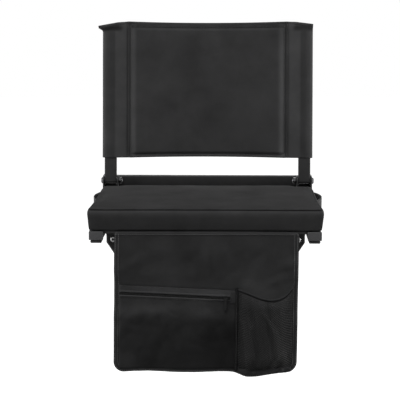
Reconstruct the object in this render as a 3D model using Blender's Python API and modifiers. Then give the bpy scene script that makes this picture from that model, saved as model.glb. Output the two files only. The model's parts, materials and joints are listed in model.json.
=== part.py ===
"""Folding stadium seat that hooks on a bench, with a storage flap hanging from its front edge.

Metres, +Z up. Z = 0 is the bench top under the rubber feet, X runs across the seat and the seat faces -Y.
"""

import math

import bmesh
import bpy
from mathutils import Vector

OBJECT_NAME = "stadium_seat"
GAP = 0.0003
MERGE = 0.00001
BORE_OVERRUN = 0.005
SHARP_ANGLE = math.radians(35)

# Frame under the seat
RAIL_X = 0.200
RAIL_WIDTH = 0.026
RAIL_HEIGHT = 0.016
RAIL_WALL = 0.0015
RAIL_LOW = 0.006
RAIL_FRONT = -0.1475
RAIL_REAR = 0.1875
PLUG_HEAD = 0.0025
PLUG_SPIGOT = 0.014
PLUG_EDGE = 0.0006
FOOT_SIZE = (0.021, 0.034, 0.0057)
FOOT_EDGE = 0.0012
FOOT_FRONT_Y = -0.131
FOOT_REAR_Y = 0.150
CROSS_RADIUS = 0.006
CROSS_WALL = 0.0015
CROSS_Z = 0.0132
CROSS_FRONT_Y = -0.095
CROSS_REAR_Y = 0.060

# Cushion and board
SEAT_HALF_X = 0.2165
SEAT_HALF_Y = 0.1540
SEAT_LOW = 0.0228
SEAT_HIGH = 0.0600
SEAT_CROWN = 0.0035
SEAT_DRAW = 0.003
SEAT_TAPER = 0.003
SEAT_CORNER = 0.005
SEAT_CORNER_POWER = 14
SEAT_EDGE = 0.006
SEAT_EDGE_LEAN = 0.0036
COVER_THICKNESS = 0.0012
FOAM_INSET = 0.003
BOARD_HALF_X = 0.205
BOARD_HALF_Y = 0.1435
BOARD_RADIUS = 0.012
BOARD_THICKNESS = 0.006
SCREW_RADIUS = 0.002
SCREW_HEAD_RADIUS = 0.004
SCREW_HEAD = 0.0022
SCREW_BITE = 0.0042
SCREW_Y = 0.080

# Webbing loops at the sides of the cushion
LOOP_REAR_Y = 0.150
LOOP_FRONT_Y = 0.036
LOOP_Z = 0.0365
LOOP_WIDTH = 0.024
LOOP_THICKNESS = 0.002
LOOP_BOW = 0.0145
LOOP_FULLNESS = 0.7

# Hinge of the back
PIVOT_Y = 0.168
PIVOT_Z = 0.0685
RECLINE = math.radians(9.0)
PLATE_THICKNESS = 0.0025
PLATE_FRONT_Y = 0.112
PLATE_NECK_Y = 0.1555
PLATE_REAR_Y = 0.190
PLATE_TOP_RADIUS = 0.010
PLATE_NECK_DROP = 0.022
PLATE_NOTCH_DROP = 0.003
PLATE_NOTCH_ANGLE = 55
BOLT_RADIUS = 0.004
BOLT_HOLE = 0.00425
BOLT_HEAD_RADIUS = 0.007
BOLT_HEAD = 0.0045
BOLT_TAIL = 0.002
BOLT_CHAMFER = 0.001
NUT_RADIUS = 0.0075
NUT_HEIGHT = 0.0065
SLEEVE_RADIUS = 0.006
SLEEVE_HOLE = 0.0063
RIVET_RADIUS = 0.0025
RIVET_HOLE = 0.0028
RIVET_HEAD_RADIUS = 0.005
RIVET_HEAD = 0.002
RIVET_YS = (0.122, 0.162)
HEAD_RIM = 0.4
HEAD_FLAT = 0.6
STOP_DEPTH = 0.012
STOP_HEIGHT = 0.025
STOP_TOP = 0.0775
STOP_WALL = 0.0015

# Back: depth runs from front to rear across the uprights, height runs along them from the pivot
UPRIGHT_WIDTH = 0.0244
UPRIGHT_DEPTH = 0.016
UPRIGHT_WALL = 0.0015
UPRIGHT_TOP = 0.303
CAP_HEAD = 0.003
CAP_SPIGOT = 0.014
SLING_LOW = 0.048
SLING_HIGH = 0.327
SLING_THICKNESS = 0.001
SLING_WRAP = 0.0092
SLING_SLACK = 0.0011
SLING_TURN = 0.0015
SLING_LAP = 0.002
SLING_SEAM_X = 0.164
SLING_SEAM_DEPTH = 0.0016
SLING_REAR_SEAM_X = 0.1605
SLING_FLAT_FROM = 0.306
SLING_BOW = 0.0025
SLING_DIP = 0.003
LEFT_EAR = 0.008
RIGHT_EAR = 0.0015
PAD_HALF_X = 0.150
PAD_LOW = 0.056
PAD_HIGH = 0.3135
PAD_BULGE = 0.0065
PAD_REAR_BULGE = 0.002
PAD_FILL = 0.85
PAD_INSET = 0.97
PAD_POWER_ACROSS = 6
PAD_POWER_UP = 8
PAD_COLUMNS = 7
PAD_ROWS = 5

# Flap: sizes from its hinge line under the front edge of the cushion
FLAP_Y = -0.1502
FLAP_Z = 0.0205
FLAP_HALF_X = 0.169
FLAP_TOP = -0.0015
FLAP_DROP = 0.2625
FLAP_THICKNESS = 0.0016
FLAP_CORNER = 0.017
FLAP_SAG = 0.009
FLAP_SAG_X = 0.080
FLAP_SAG_WIDTH = 0.030
FLAP_RIPPLE = 0.003
FLAP_RIPPLE_LENGTH = 0.150
FLAP_RIPPLE_FROM = -0.130
ZIP_LEFT = (-0.160, -0.1135)
ZIP_RIGHT = (0.046, -0.1225)
ZIP_ABOVE = 0.017
ZIP_BELOW = 0.006
ZIP_TAPE = 0.001
ZIP_RIB = 0.0022
POCKET_LEFT = -0.160
POCKET_RIGHT = 0.055
POCKET_LOW = -0.2550
POCKET_THICKNESS = 0.001
POCKET_BULGE = 0.004
POCKET_FULLNESS = 0.6
MESH_LEFT = 0.0585
MESH_RIGHT = 0.1600
MESH_LOW = -0.2570
MESH_TOP = -0.1070
MESH_TOP_SAG = 0.0175
MESH_TOP_LEAN = 1.3
MESH_TOP_POWER = 1.2
MESH_LOW_SAG = 0.8
MESH_THICKNESS = 0.001
MESH_DEPTH = 0.022
MESH_MOUTH = 0.014
MESH_FULL_FROM = 0.3
MESH_FULLNESS = 0.7
BAND_HEIGHT = 0.008
BAND_THICKNESS = 0.0016

# Zip slider and pull, from the middle of the zip's rib
SLIDER_SIZE = (0.008, 0.0024, 0.007)
SLIDER_FROM_RIGHT = 0.008
BRIDGE_REACH = 0.0045
BRIDGE_HEIGHT = 0.0018
BRIDGE_BAR = 0.0016
BRIDGE_POST = 0.0014
PULL_WIDTH = 0.0046
PULL_EYE = 0.0014
PULL_KNUCKLE = 0.0023
PULL_THICKNESS = 0.0012
PULL_LENGTH = 0.020
PULL_EYE_STEPS = 15

# Carry handle: sizes from the axis of the front cross tube
HANDLE_HALF_X = 0.173
HANDLE_WIDTH = 0.025
HANDLE_THICKNESS = 0.002
HANDLE_LOOP = 0.0075
HANDLE_LAYER = 0.0014
HANDLE_PINCH = -0.0105
HANDLE_TAIL = -0.0215
HANDLE_START = -0.0215
HANDLE_SAG = 0.118
HANDLE_WRAP = 18
HANDLE_EASE = 0.15
HANDLE_TWIST_END = 0.5
HANDLE_RIVET_Z = -0.0160
EYELET_RADIUS = 0.005
EYELET_TOP = 0.004
EYELET_HEAD = 0.001

# Bench hooks
HOOK_X = 0.090
HOOK_Y = -0.133
HOOK_WIDTH = 0.020
HOOK_THICKNESS = 0.003
HOOK_TOP = 0.0176
HOOK_REACH = 0.012
HOOK_LIP_TOP = -0.046
HOOK_LIP = 0.022
HOOK_BEND = 0.004
HOOK_RAIL_SIZE = (0.024, 0.004)
HOOK_HEAD_RADIUS = 0.0065
HOOK_HEAD = 0.0043

# Colour, roughness and metallic value of each kind of material
FINISHES = {
    "coated_steel": ((0.018, 0.018, 0.019), 0.45, 0.6),
    "zinc": ((0.45, 0.45, 0.46), 0.35, 1.0),
    "plug_plastic": ((0.055, 0.055, 0.057), 0.5, 0.0),
    "rubber": ((0.012, 0.012, 0.012), 0.8, 0.0),
    "plywood": ((0.42, 0.29, 0.17), 0.7, 0.0),
    "foam": ((0.55, 0.53, 0.47), 0.95, 0.0),
    "seat_cloth": ((0.030, 0.030, 0.031), 0.85, 0.0),
    "flap_cloth": ((0.016, 0.016, 0.017), 0.9, 0.0),
    "mesh_cloth": ((0.014, 0.014, 0.014), 0.9, 0.0),
    "webbing": ((0.012, 0.012, 0.012), 0.85, 0.0),
    "zip": ((0.010, 0.010, 0.010), 0.4, 0.0),
}

# Turns an outline drawn in the YZ plane upright, with its thickness along X
SIDEWAYS = (math.pi / 2, 0.0, math.pi / 2)
ALONG_X = (0.0, math.pi / 2, 0.0)
ALONG_Y = (math.pi / 2, 0.0, 0.0)

SIDES = (("left", -1), ("right", 1))


def clear_scene():
    for obj in list(bpy.data.objects):
        bpy.data.objects.remove(obj, do_unlink=True)


def new_collection(name):
    collection = bpy.data.collections.new(name)
    bpy.context.scene.collection.children.link(collection)
    return collection


clear_scene()
PARTS = new_collection(OBJECT_NAME)
CUTTERS = new_collection(OBJECT_NAME + "_cutters")


def give_finish(obj, kind):
    colour, roughness, metallic = FINISHES[kind]
    material = bpy.data.materials.new(obj.name + "_finish")
    material.use_nodes = True
    shader = material.node_tree.nodes["Principled BSDF"]
    shader.inputs["Base Color"].default_value = (*colour, 1.0)
    shader.inputs["Roughness"].default_value = roughness
    shader.inputs["Metallic"].default_value = metallic
    obj.data.materials.clear()
    obj.data.materials.append(material)


def add(name, data, kind, location, rotation, parent):
    """Adds an object to the parts, or to the cutters where it has no kind of material."""
    obj = bpy.data.objects.new(name, data)
    obj.location = location
    obj.rotation_euler = rotation
    obj.parent = parent
    if kind:
        PARTS.objects.link(obj)
        give_finish(obj, kind)
    else:
        CUTTERS.objects.link(obj)
        obj.hide_render = True
        obj.display_type = "WIRE"
    return obj


def add_empty(name, location, rotation=(0.0, 0.0, 0.0), parent=None):
    empty = bpy.data.objects.new(name, None)
    empty.location = location
    empty.rotation_euler = rotation
    empty.parent = parent
    PARTS.objects.link(empty)
    return empty


def mesh_of(name, bm, smooth=False):
    mesh = bpy.data.meshes.new(name)
    bm.to_mesh(mesh)
    bm.free()
    if smooth:
        mesh.shade_smooth()
        mesh.set_sharp_from_angle(angle=SHARP_ANGLE)
    return mesh


def box(name, kind, size, centre, parent=None):
    bm = bmesh.new()
    bmesh.ops.create_cube(bm, size=1.0)
    bmesh.ops.scale(bm, vec=size, verts=bm.verts)
    return add(name, mesh_of(name, bm), kind, centre, (0.0, 0.0, 0.0), parent)


def rod(name, kind, radius, length, centre, rotation, parent=None, segments=24):
    bm = bmesh.new()
    bmesh.ops.create_cone(
        bm, cap_ends=True, segments=segments, radius1=radius, radius2=radius, depth=length
    )
    return add(name, mesh_of(name, bm, segments > 6), kind, centre, rotation, parent)


def turned(name, kind, profile, centre, rotation, parent=None, steps=14):
    """A piece turned on a lathe: (radius, height) from the top of its axis to the bottom."""
    bm = bmesh.new()
    points = [bm.verts.new((radius, 0.0, height)) for radius, height in profile]
    for upper, lower in zip(points, points[1:]):
        bm.edges.new((upper, lower))
    obj = add(name, mesh_of(name, bm), kind, centre, rotation, parent)
    screw = obj.modifiers.new("turn", "SCREW")
    screw.steps = steps
    screw.render_steps = steps
    screw.use_merge_vertices = True
    screw.merge_threshold = MERGE
    weld = obj.modifiers.new("axis", "WELD")
    weld.merge_threshold = MERGE
    return obj


def plate(name, kind, outlines, thickness, centre, rotation, parent=None):
    """A flat outline, with any further outlines as holes in it, given a thickness."""
    curve = bpy.data.curves.new(name, "CURVE")
    curve.dimensions = "2D"
    curve.fill_mode = "BOTH"
    curve.extrude = thickness / 2
    for outline in outlines:
        spline = curve.splines.new("POLY")
        spline.points.add(len(outline) - 1)
        spline.use_cyclic_u = True
        for point, (across, up) in zip(spline.points, outline):
            point.co = (across, up, 0.0, 1.0)
    drawn = bpy.data.objects.new(name + "_outline", curve)
    CUTTERS.objects.link(drawn)
    evaluated = drawn.evaluated_get(bpy.context.evaluated_depsgraph_get())
    bm = bmesh.new()
    bm.from_mesh(bpy.data.meshes.new_from_object(evaluated))
    bmesh.ops.remove_doubles(bm, verts=bm.verts, dist=MERGE / 10)
    bmesh.ops.recalc_face_normals(bm, faces=bm.faces)
    bpy.data.objects.remove(drawn, do_unlink=True)
    return add(name, mesh_of(name, bm), kind, centre, rotation, parent)


def combine(obj, other, operation="DIFFERENCE"):
    boolean = obj.modifiers.new(other.name, "BOOLEAN")
    boolean.operation = operation
    boolean.object = other


def soften(obj, width, segments=1):
    bevel = obj.modifiers.new("edges", "BEVEL")
    bevel.width = width
    bevel.segments = segments
    bevel.limit_method = "ANGLE"


def sheet(name, kind, columns, rows, surface, thickness, parent=None):
    """Cloth of an even thickness: surface(u, v) gives its middle, u across and v up, each from 0 to 1."""
    bm = bmesh.new()
    bmesh.ops.create_grid(bm, x_segments=columns, y_segments=rows, size=0.5)
    for vert in bm.verts:
        vert.co = surface(vert.co.x + 0.5, vert.co.y + 0.5)
    obj = add(name, mesh_of(name, bm, True), kind, (0.0, 0.0, 0.0), (0.0, 0.0, 0.0), parent)
    solidify = obj.modifiers.new("cloth", "SOLIDIFY")
    solidify.thickness = thickness
    solidify.offset = 0.0
    return obj


def arc(centre, radius, start, end, steps):
    """Points on a circle from one angle to another, in degrees."""
    points = []
    for step in range(steps + 1):
        angle = math.radians(start + (end - start) * step / steps)
        points.append((centre[0] + radius * math.cos(angle), centre[1] + radius * math.sin(angle)))
    return points


def ease_points(start, end, steps):
    """Values from start to end that lie closer together towards the end."""
    return [blend(start, end, math.sin(step / steps * math.pi / 2)) for step in range(steps + 1)]


def smooth_step(value):
    value = min(max(value, 0.0), 1.0)
    return value * value * (3.0 - 2.0 * value)


def blend(start, end, share):
    return start + (end - start) * share


def side_rail(side, sign):
    length = RAIL_REAR - RAIL_FRONT
    centre = (sign * RAIL_X, (RAIL_REAR + RAIL_FRONT) / 2, RAIL_LOW + RAIL_HEIGHT / 2)
    rail = box(f"{side}_side_rail", "coated_steel", (RAIL_WIDTH, length, RAIL_HEIGHT), centre)
    bore_size = (RAIL_WIDTH - 2 * RAIL_WALL, length + 2 * BORE_OVERRUN, RAIL_HEIGHT - 2 * RAIL_WALL)
    combine(rail, box(f"{side}_rail_bore", None, bore_size, centre))
    for row, y in (("front", -SCREW_Y), ("rear", SCREW_Y)):
        hole = rod(
            f"{side}_{row}_screw_hole",
            None,
            SCREW_RADIUS + GAP,
            2 * RAIL_HEIGHT,
            (sign * RAIL_X, y, RAIL_LOW + RAIL_HEIGHT / 2),
            (0.0, 0.0, 0.0),
            segments=12,
        )
        combine(rail, hole)
        combine(bpy.data.objects["seat_board"], hole)
    for number, y in enumerate(RIVET_YS, 1):
        hole = rod(
            f"{side}_plate_rivet_hole_{number}",
            None,
            RIVET_HOLE,
            3 * RAIL_WIDTH,
            (sign * RAIL_X, y, RAIL_LOW + RAIL_HEIGHT / 2),
            ALONG_X,
            segments=12,
        )
        combine(rail, hole)


def tube_plug(name, size, wall, head, spigot, centre, rotation, parent=None):
    """Plastic plug for a flat tube: its head lies on the tube's end and its spigot fits inside."""
    bm = bmesh.new()
    bmesh.ops.create_cube(bm, size=1.0)
    bmesh.ops.scale(bm, vec=(*size, head), verts=bm.verts)
    under = [face for face in bm.faces if face.normal.z < -0.5]
    bmesh.ops.inset_region(bm, faces=under, thickness=wall + GAP, use_even_offset=True)
    pushed = bmesh.ops.extrude_discrete_faces(bm, faces=under)["faces"]
    moved = [vert for face in pushed for vert in face.verts]
    bmesh.ops.translate(bm, vec=(0.0, 0.0, -spigot), verts=moved)
    plug = add(name, mesh_of(name, bm), "plug_plastic", centre, rotation, parent)
    soften(plug, PLUG_EDGE)


def rail_plug(name, sign, y, direction):
    centre = (sign * RAIL_X, y + direction * (PLUG_HEAD / 2 + GAP), RAIL_LOW + RAIL_HEIGHT / 2)
    rotation = (-direction * math.pi / 2, 0.0, 0.0)
    size = (RAIL_WIDTH, RAIL_HEIGHT)
    tube_plug(name, size, RAIL_WALL, PLUG_HEAD, PLUG_SPIGOT, centre, rotation)


def rubber_foot(name, sign, y):
    foot = box(name, "rubber", FOOT_SIZE, (sign * RAIL_X, y, FOOT_SIZE[2] / 2))
    soften(foot, FOOT_EDGE)


def cross_tube(name, y):
    length = 2 * (RAIL_X - RAIL_WIDTH / 2 - GAP)
    tube = rod(name, "coated_steel", CROSS_RADIUS, length, (0.0, y, CROSS_Z), ALONG_X)
    bore_length = length + 2 * BORE_OVERRUN
    bore = rod(name + "_bore", None, CROSS_RADIUS - CROSS_WALL, bore_length, (0.0, y, CROSS_Z), ALONG_X)
    combine(tube, bore)


def seat_board():
    outline = []
    for corner_x, corner_y, start in ((1, 1, 0), (-1, 1, 90), (-1, -1, 180), (1, -1, 270)):
        centre = (corner_x * (BOARD_HALF_X - BOARD_RADIUS), corner_y * (BOARD_HALF_Y - BOARD_RADIUS))
        outline += arc(centre, BOARD_RADIUS, start, start + 90, 4)
    height = RAIL_LOW + RAIL_HEIGHT + GAP + BOARD_THICKNESS / 2
    plate("seat_board", "plywood", [outline], BOARD_THICKNESS, (0.0, 0.0, height), (0.0, 0.0, 0.0))


def board_screw(side, sign, row, y):
    low = RAIL_LOW - GAP - SCREW_HEAD
    top = RAIL_LOW + RAIL_HEIGHT + SCREW_BITE - low
    profile = [
        (0.0, top),
        (SCREW_RADIUS, top - SCREW_RADIUS),
        (SCREW_RADIUS, SCREW_HEAD),
        (SCREW_HEAD_RADIUS, SCREW_HEAD),
        (SCREW_HEAD_RADIUS, SCREW_HEAD * HEAD_RIM),
        (SCREW_HEAD_RADIUS * HEAD_FLAT, 0.0),
        (0.0, 0.0),
    ]
    turned(
        f"{side}_{row}_board_screw",
        "zinc",
        profile,
        (sign * RAIL_X, y, low),
        (0.0, 0.0, 0.0),
        steps=10,
    )


def cushion_side(z):
    """How far the sides lean in at a height: pulled in at the bottom and rounded at the top edge."""
    share = (z - SEAT_LOW) / (SEAT_HIGH - SEAT_LOW)
    top_edge = max(0.0, (z - SEAT_HIGH + SEAT_EDGE) / SEAT_EDGE)
    return SEAT_TAPER * (1.0 - share) + SEAT_EDGE_LEAN * top_edge**2


def cushion_point(across, along, up, inset, low, high):
    """A point of the box cushion from its place in a cube of -1 to 1."""
    sx = math.sin(across * math.pi / 2)
    sy = math.sin(along * math.pi / 2)
    z = blend(low, high, (up + 1.0) / 2)
    corner = SEAT_CORNER * abs(sx * sy) ** SEAT_CORNER_POWER
    lean = cushion_side(min(z, SEAT_HIGH)) + inset + corner
    x = sx * (SEAT_HALF_X - lean - SEAT_DRAW * (1.0 - sy * sy))
    y = sy * (SEAT_HALF_Y - lean - SEAT_DRAW * (1.0 - sx * sx))
    crown = SEAT_CROWN * (1.0 - sx * sx) * (1.0 - sy * sy) * max(up, 0.0)
    return (x, y, z + crown)


def cushion(name, kind, cuts, inset, low, high):
    bm = bmesh.new()
    bmesh.ops.create_cube(bm, size=2.0)
    bmesh.ops.subdivide_edges(bm, edges=bm.edges, cuts=cuts, use_grid_fill=True)
    for vert in bm.verts:
        vert.co = cushion_point(*vert.co, inset, low, high)
    return add(name, mesh_of(name, bm, True), kind, (0.0, 0.0, 0.0), (0.0, 0.0, 0.0), None)


def seat_foam():
    low = RAIL_LOW + RAIL_HEIGHT + 2 * GAP + BOARD_THICKNESS
    cushion("seat_foam", "foam", 7, FOAM_INSET, low, SEAT_HIGH - FOAM_INSET)


def seat_cover():
    cover = cushion("seat_cover", "seat_cloth", 9, 0.0, SEAT_LOW, SEAT_HIGH)
    bm = bmesh.new()
    bm.from_mesh(cover.data)
    below = [face for face in bm.faces if all(vert.co.z < SEAT_LOW + GAP for vert in face.verts)]
    bmesh.ops.delete(bm, geom=below, context="FACES")
    bm.to_mesh(cover.data)
    bm.free()
    solidify = cover.modifiers.new("cloth", "SOLIDIFY")
    solidify.thickness = COVER_THICKNESS


def side_loop(side, sign):
    """Webbing sewn to the side of the cushion at both ends, bowed out between them."""

    def surface(u, v):
        y = blend(LOOP_FRONT_Y, LOOP_REAR_Y, v)
        z = LOOP_Z + LOOP_WIDTH * (u - 0.5)
        sy = y / SEAT_HALF_Y
        cushion_x = SEAT_HALF_X - cushion_side(z) - SEAT_DRAW * (1.0 - sy * sy)
        clear = GAP + LOOP_THICKNESS / 2
        return (sign * (cushion_x + clear + LOOP_BOW * math.sin(v * math.pi) ** LOOP_FULLNESS), y, z)

    sheet(f"{side}_side_loop", "webbing", 2, 14, surface, LOOP_THICKNESS)


def hinge_plate_outline(notched):
    """Outline in the YZ plane: a foot along the rail and a neck up to the pivot and the stop bar."""
    rail_top = RAIL_LOW + RAIL_HEIGHT - GAP
    stop_front = PLATE_REAR_Y - STOP_DEPTH - GAP
    stop_low = STOP_TOP - STOP_HEIGHT - GAP
    top = PIVOT_Z + PLATE_TOP_RADIUS
    outline = [(PLATE_FRONT_Y, RAIL_LOW + GAP), (PLATE_REAR_Y, RAIL_LOW + GAP)]
    if notched:
        outline += [(PLATE_REAR_Y, stop_low), (stop_front, stop_low), (stop_front, top - PLATE_NOTCH_DROP)]
    else:
        outline += [(PLATE_REAR_Y, top)]
    outline += arc((PIVOT_Y, PIVOT_Z), PLATE_TOP_RADIUS, PLATE_NOTCH_ANGLE if notched else 90, 180, 8)
    outline += [(PLATE_NECK_Y, PIVOT_Z - PLATE_NECK_DROP), (PLATE_NECK_Y, rail_top)]
    outline += [(PLATE_FRONT_Y, rail_top)]
    return outline


def hinge(side, sign):
    """Two plates riveted to the rail, with a bolt and sleeve between them that the upright turns on."""
    plate_offset = RAIL_WIDTH / 2 + GAP + PLATE_THICKNESS / 2
    rail_z = RAIL_LOW + RAIL_HEIGHT / 2
    pivot_hole = rod(
        f"{side}_pivot_hole",
        None,
        BOLT_HOLE,
        4 * RAIL_WIDTH,
        (sign * RAIL_X, PIVOT_Y, PIVOT_Z),
        ALONG_X,
    )
    for place, outward in (("outer", 1), ("inner", -1)):
        hinge_plate = plate(
            f"{side}_{place}_hinge_plate",
            "coated_steel",
            [hinge_plate_outline(place == "inner")],
            PLATE_THICKNESS,
            (sign * (RAIL_X + outward * plate_offset), 0.0, 0.0),
            SIDEWAYS,
        )
        combine(hinge_plate, pivot_hole)
        for number in range(1, len(RIVET_YS) + 1):
            combine(hinge_plate, bpy.data.objects[f"{side}_plate_rivet_hole_{number}"])

    grip = plate_offset + PLATE_THICKNESS / 2 + GAP
    rivet_profile = [
        (0.0, grip + RIVET_HEAD),
        (RIVET_HEAD_RADIUS * HEAD_FLAT, grip + RIVET_HEAD),
        (RIVET_HEAD_RADIUS, grip + RIVET_HEAD * HEAD_RIM),
        (RIVET_HEAD_RADIUS, grip),
        (RIVET_RADIUS, grip),
        (RIVET_RADIUS, -grip),
        (RIVET_HEAD_RADIUS, -grip),
        (RIVET_HEAD_RADIUS, -grip - RIVET_HEAD * HEAD_RIM),
        (RIVET_HEAD_RADIUS * HEAD_FLAT, -grip - RIVET_HEAD),
        (0.0, -grip - RIVET_HEAD),
    ]
    for row, y in zip(("front", "rear"), RIVET_YS):
        turned(
            f"{side}_{row}_plate_rivet",
            "zinc",
            rivet_profile,
            (sign * RAIL_X, y, rail_z),
            ALONG_X,
            steps=12,
        )

    tail = -grip - NUT_HEIGHT - BOLT_TAIL
    quarter = arc((0.0, 0.0), 1.0, 90, 0, 3)
    dome = [(across * BOLT_HEAD_RADIUS, grip + up * BOLT_HEAD) for across, up in quarter]
    bolt_profile = dome + [
        (BOLT_RADIUS, grip),
        (BOLT_RADIUS, tail + BOLT_CHAMFER),
        (BOLT_RADIUS - BOLT_CHAMFER, tail),
        (0.0, tail),
    ]
    pivot = (sign * RAIL_X, PIVOT_Y, PIVOT_Z)
    turned(f"{side}_hinge_bolt", "zinc", bolt_profile, pivot, (0.0, sign * math.pi / 2, 0.0))

    nut_x = sign * (RAIL_X - grip - NUT_HEIGHT / 2)
    nut = rod(
        f"{side}_hinge_nut",
        "zinc",
        NUT_RADIUS,
        NUT_HEIGHT,
        (nut_x, PIVOT_Y, PIVOT_Z),
        ALONG_X,
        segments=6,
    )
    combine(nut, pivot_hole)

    sleeve = rod(
        f"{side}_hinge_sleeve", "zinc", SLEEVE_RADIUS, RAIL_WIDTH, pivot, ALONG_X, segments=20
    )
    combine(sleeve, pivot_hole)


def stop_bar():
    length = 2 * (RAIL_X + RAIL_WIDTH / 2)
    centre = (0.0, PLATE_REAR_Y - STOP_DEPTH / 2, STOP_TOP - STOP_HEIGHT / 2)
    bar = box("stop_bar", "coated_steel", (length, STOP_DEPTH, STOP_HEIGHT), centre)
    bore_size = (length + 2 * BORE_OVERRUN, STOP_DEPTH - 2 * STOP_WALL, STOP_HEIGHT - 2 * STOP_WALL)
    combine(bar, box("stop_bar_bore", None, bore_size, centre))


def upright(side, sign, parent):
    """Flat tube with its lower end cut round about the pivot, and a plug in its top."""
    half = UPRIGHT_DEPTH / 2
    outline = arc((0.0, 0.0), half, 180, 360, 10) + [(half, UPRIGHT_TOP), (-half, UPRIGHT_TOP)]
    centre = (sign * RAIL_X, 0.0, 0.0)
    tube = plate(
        f"{side}_upright", "coated_steel", [outline], UPRIGHT_WIDTH, centre, SIDEWAYS, parent
    )
    inner = (UPRIGHT_WIDTH - 2 * UPRIGHT_WALL, UPRIGHT_DEPTH - 2 * UPRIGHT_WALL)
    bore_size = (inner[0], inner[1], UPRIGHT_TOP + 4 * UPRIGHT_DEPTH)
    bore_centre = (sign * RAIL_X, 0.0, UPRIGHT_TOP / 2)
    combine(tube, box(f"{side}_upright_bore", None, bore_size, bore_centre, parent))
    hole = rod(
        f"{side}_sleeve_hole", None, SLEEVE_HOLE, 2 * RAIL_WIDTH, centre, ALONG_X, parent, 20
    )
    combine(tube, hole)

    tube_plug(
        f"{side}_upright_cap",
        (UPRIGHT_WIDTH, UPRIGHT_DEPTH),
        UPRIGHT_WALL,
        CAP_HEAD,
        CAP_SPIGOT,
        (sign * RAIL_X, 0.0, UPRIGHT_TOP + GAP + CAP_HEAD / 2),
        (0.0, 0.0, 0.0),
        parent,
    )


def pad_swell(x, height):
    """From 0 at the pad's edge to 1 over most of its middle."""
    middle = (PAD_LOW + PAD_HIGH) / 2
    across = min(abs(x) / PAD_HALF_X, 1.0)
    along = min(abs(height - middle) / (PAD_HIGH - middle), 1.0)
    return math.sqrt((1.0 - across**PAD_POWER_ACROSS) * (1.0 - along**PAD_POWER_UP))


def sling_section():
    """Half of the front panel's section: from the middle of the back round the upright to the rear seam."""
    half_width = UPRIGHT_WIDTH / 2
    outside = RAIL_X + half_width + SLING_SLACK
    turn = SLING_TURN
    section = [(x, -SLING_SEAM_DEPTH) for x in ease_points(0.0, PAD_HALF_X, PAD_COLUMNS)]
    section += [
        (SLING_SEAM_X, -SLING_SEAM_DEPTH),
        (RAIL_X - half_width - turn, -SLING_WRAP),
        (outside - turn, -SLING_WRAP),
        (outside, -SLING_WRAP + turn),
        (outside, SLING_WRAP - turn),
        (outside - turn, SLING_WRAP),
        (RAIL_X - half_width - turn, SLING_WRAP),
        (SLING_SEAM_X + SLING_LAP, SLING_SEAM_DEPTH),
        (SLING_REAR_SEAM_X, SLING_SEAM_DEPTH),
    ]
    return section


def sling_rows():
    """Heights of the rows of the sleeve: its edges, the pad's edges, and closer rows where the pad turns."""
    middle = (PAD_LOW + PAD_HIGH) / 2
    upper = ease_points(middle, PAD_HIGH, PAD_ROWS)
    lower = [2 * middle - height for height in reversed(upper[1:])]
    return [SLING_LOW] + lower + upper + [(PAD_HIGH + SLING_HIGH) / 2, SLING_HIGH]


def sling_shift(x, height):
    """The lower edge of the sleeve bows up in the middle, and the upper edge dips."""
    share = (height - SLING_LOW) / (SLING_HIGH - SLING_LOW)
    inside = max(0.0, 1.0 - (x / SLING_SEAM_X) ** 2)
    return inside * (SLING_BOW * (1.0 - share) - SLING_DIP * share**4)


def back_front_panel(parent):
    """Front of the sleeve: over the pad, round both uprights, and flat where its top is sewn shut."""
    half = sling_section()
    section = [(-x, depth) for x, depth in reversed(half[1:])] + half
    rows = sling_rows()

    def surface(u, v):
        x, depth = section[round(u * (len(section) - 1))]
        height = rows[round(v * (len(rows) - 1))]
        swell = pad_swell(x, height) if depth < 0 else 0.0
        flat = smooth_step((height - SLING_FLAT_FROM) / (SLING_HIGH - SLING_FLAT_FROM))
        beyond = max(0.0, (abs(x) - SLING_SEAM_X) / (RAIL_X - SLING_SEAM_X))
        ear = LEFT_EAR if x < 0 else RIGHT_EAR
        level = math.copysign(SLING_SEAM_DEPTH, depth)
        return (
            x + math.copysign(ear * flat * beyond, x),
            blend(depth, level, flat) - PAD_BULGE * swell,
            height + sling_shift(x, height) - ear * flat * beyond,
        )

    columns = len(section) - 1
    sheet("back_front_panel", "seat_cloth", columns, len(rows) - 1, surface, SLING_THICKNESS, parent)


def back_rear_panel(parent):
    half = ease_points(0.0, PAD_HALF_X, PAD_COLUMNS) + [SLING_REAR_SEAM_X - SLING_LAP]
    section = [-x for x in reversed(half[1:])] + half
    rows = sling_rows()

    def surface(u, v):
        x = section[round(u * (len(section) - 1))]
        height = rows[round(v * (len(rows) - 1))]
        depth = SLING_SEAM_DEPTH + PAD_REAR_BULGE * pad_swell(x, height)
        return (x, depth, height + sling_shift(x, height))

    columns = len(section) - 1
    sheet("back_rear_panel", "seat_cloth", columns, len(rows) - 1, surface, SLING_THICKNESS, parent)


def back_pad(parent):
    rim = SLING_SEAM_DEPTH - SLING_THICKNESS / 2 - 2 * GAP
    bm = bmesh.new()
    bmesh.ops.create_cube(bm, size=2.0)
    bmesh.ops.subdivide_edges(bm, edges=bm.edges, cuts=7, use_grid_fill=True)
    middle = (PAD_LOW + PAD_HIGH) / 2
    for vert in bm.verts:
        x = PAD_HALF_X * math.sin(vert.co.x * math.pi / 2)
        height = middle + (PAD_HIGH - middle) * math.sin(vert.co.z * math.pi / 2)
        swell = pad_swell(x, height)
        front = -rim - PAD_FILL * PAD_BULGE * swell
        rear = rim + PAD_FILL * PAD_REAR_BULGE * swell
        x *= PAD_INSET
        height = middle + (height - middle) * PAD_INSET
        share = (vert.co.y + 1.0) / 2
        vert.co = (x, blend(front, rear, share), height + sling_shift(x, height))
    name = "back_pad"
    add(name, mesh_of(name, bm, True), "foam", (0.0, 0.0, 0.0), (0.0, 0.0, 0.0), parent)


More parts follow.
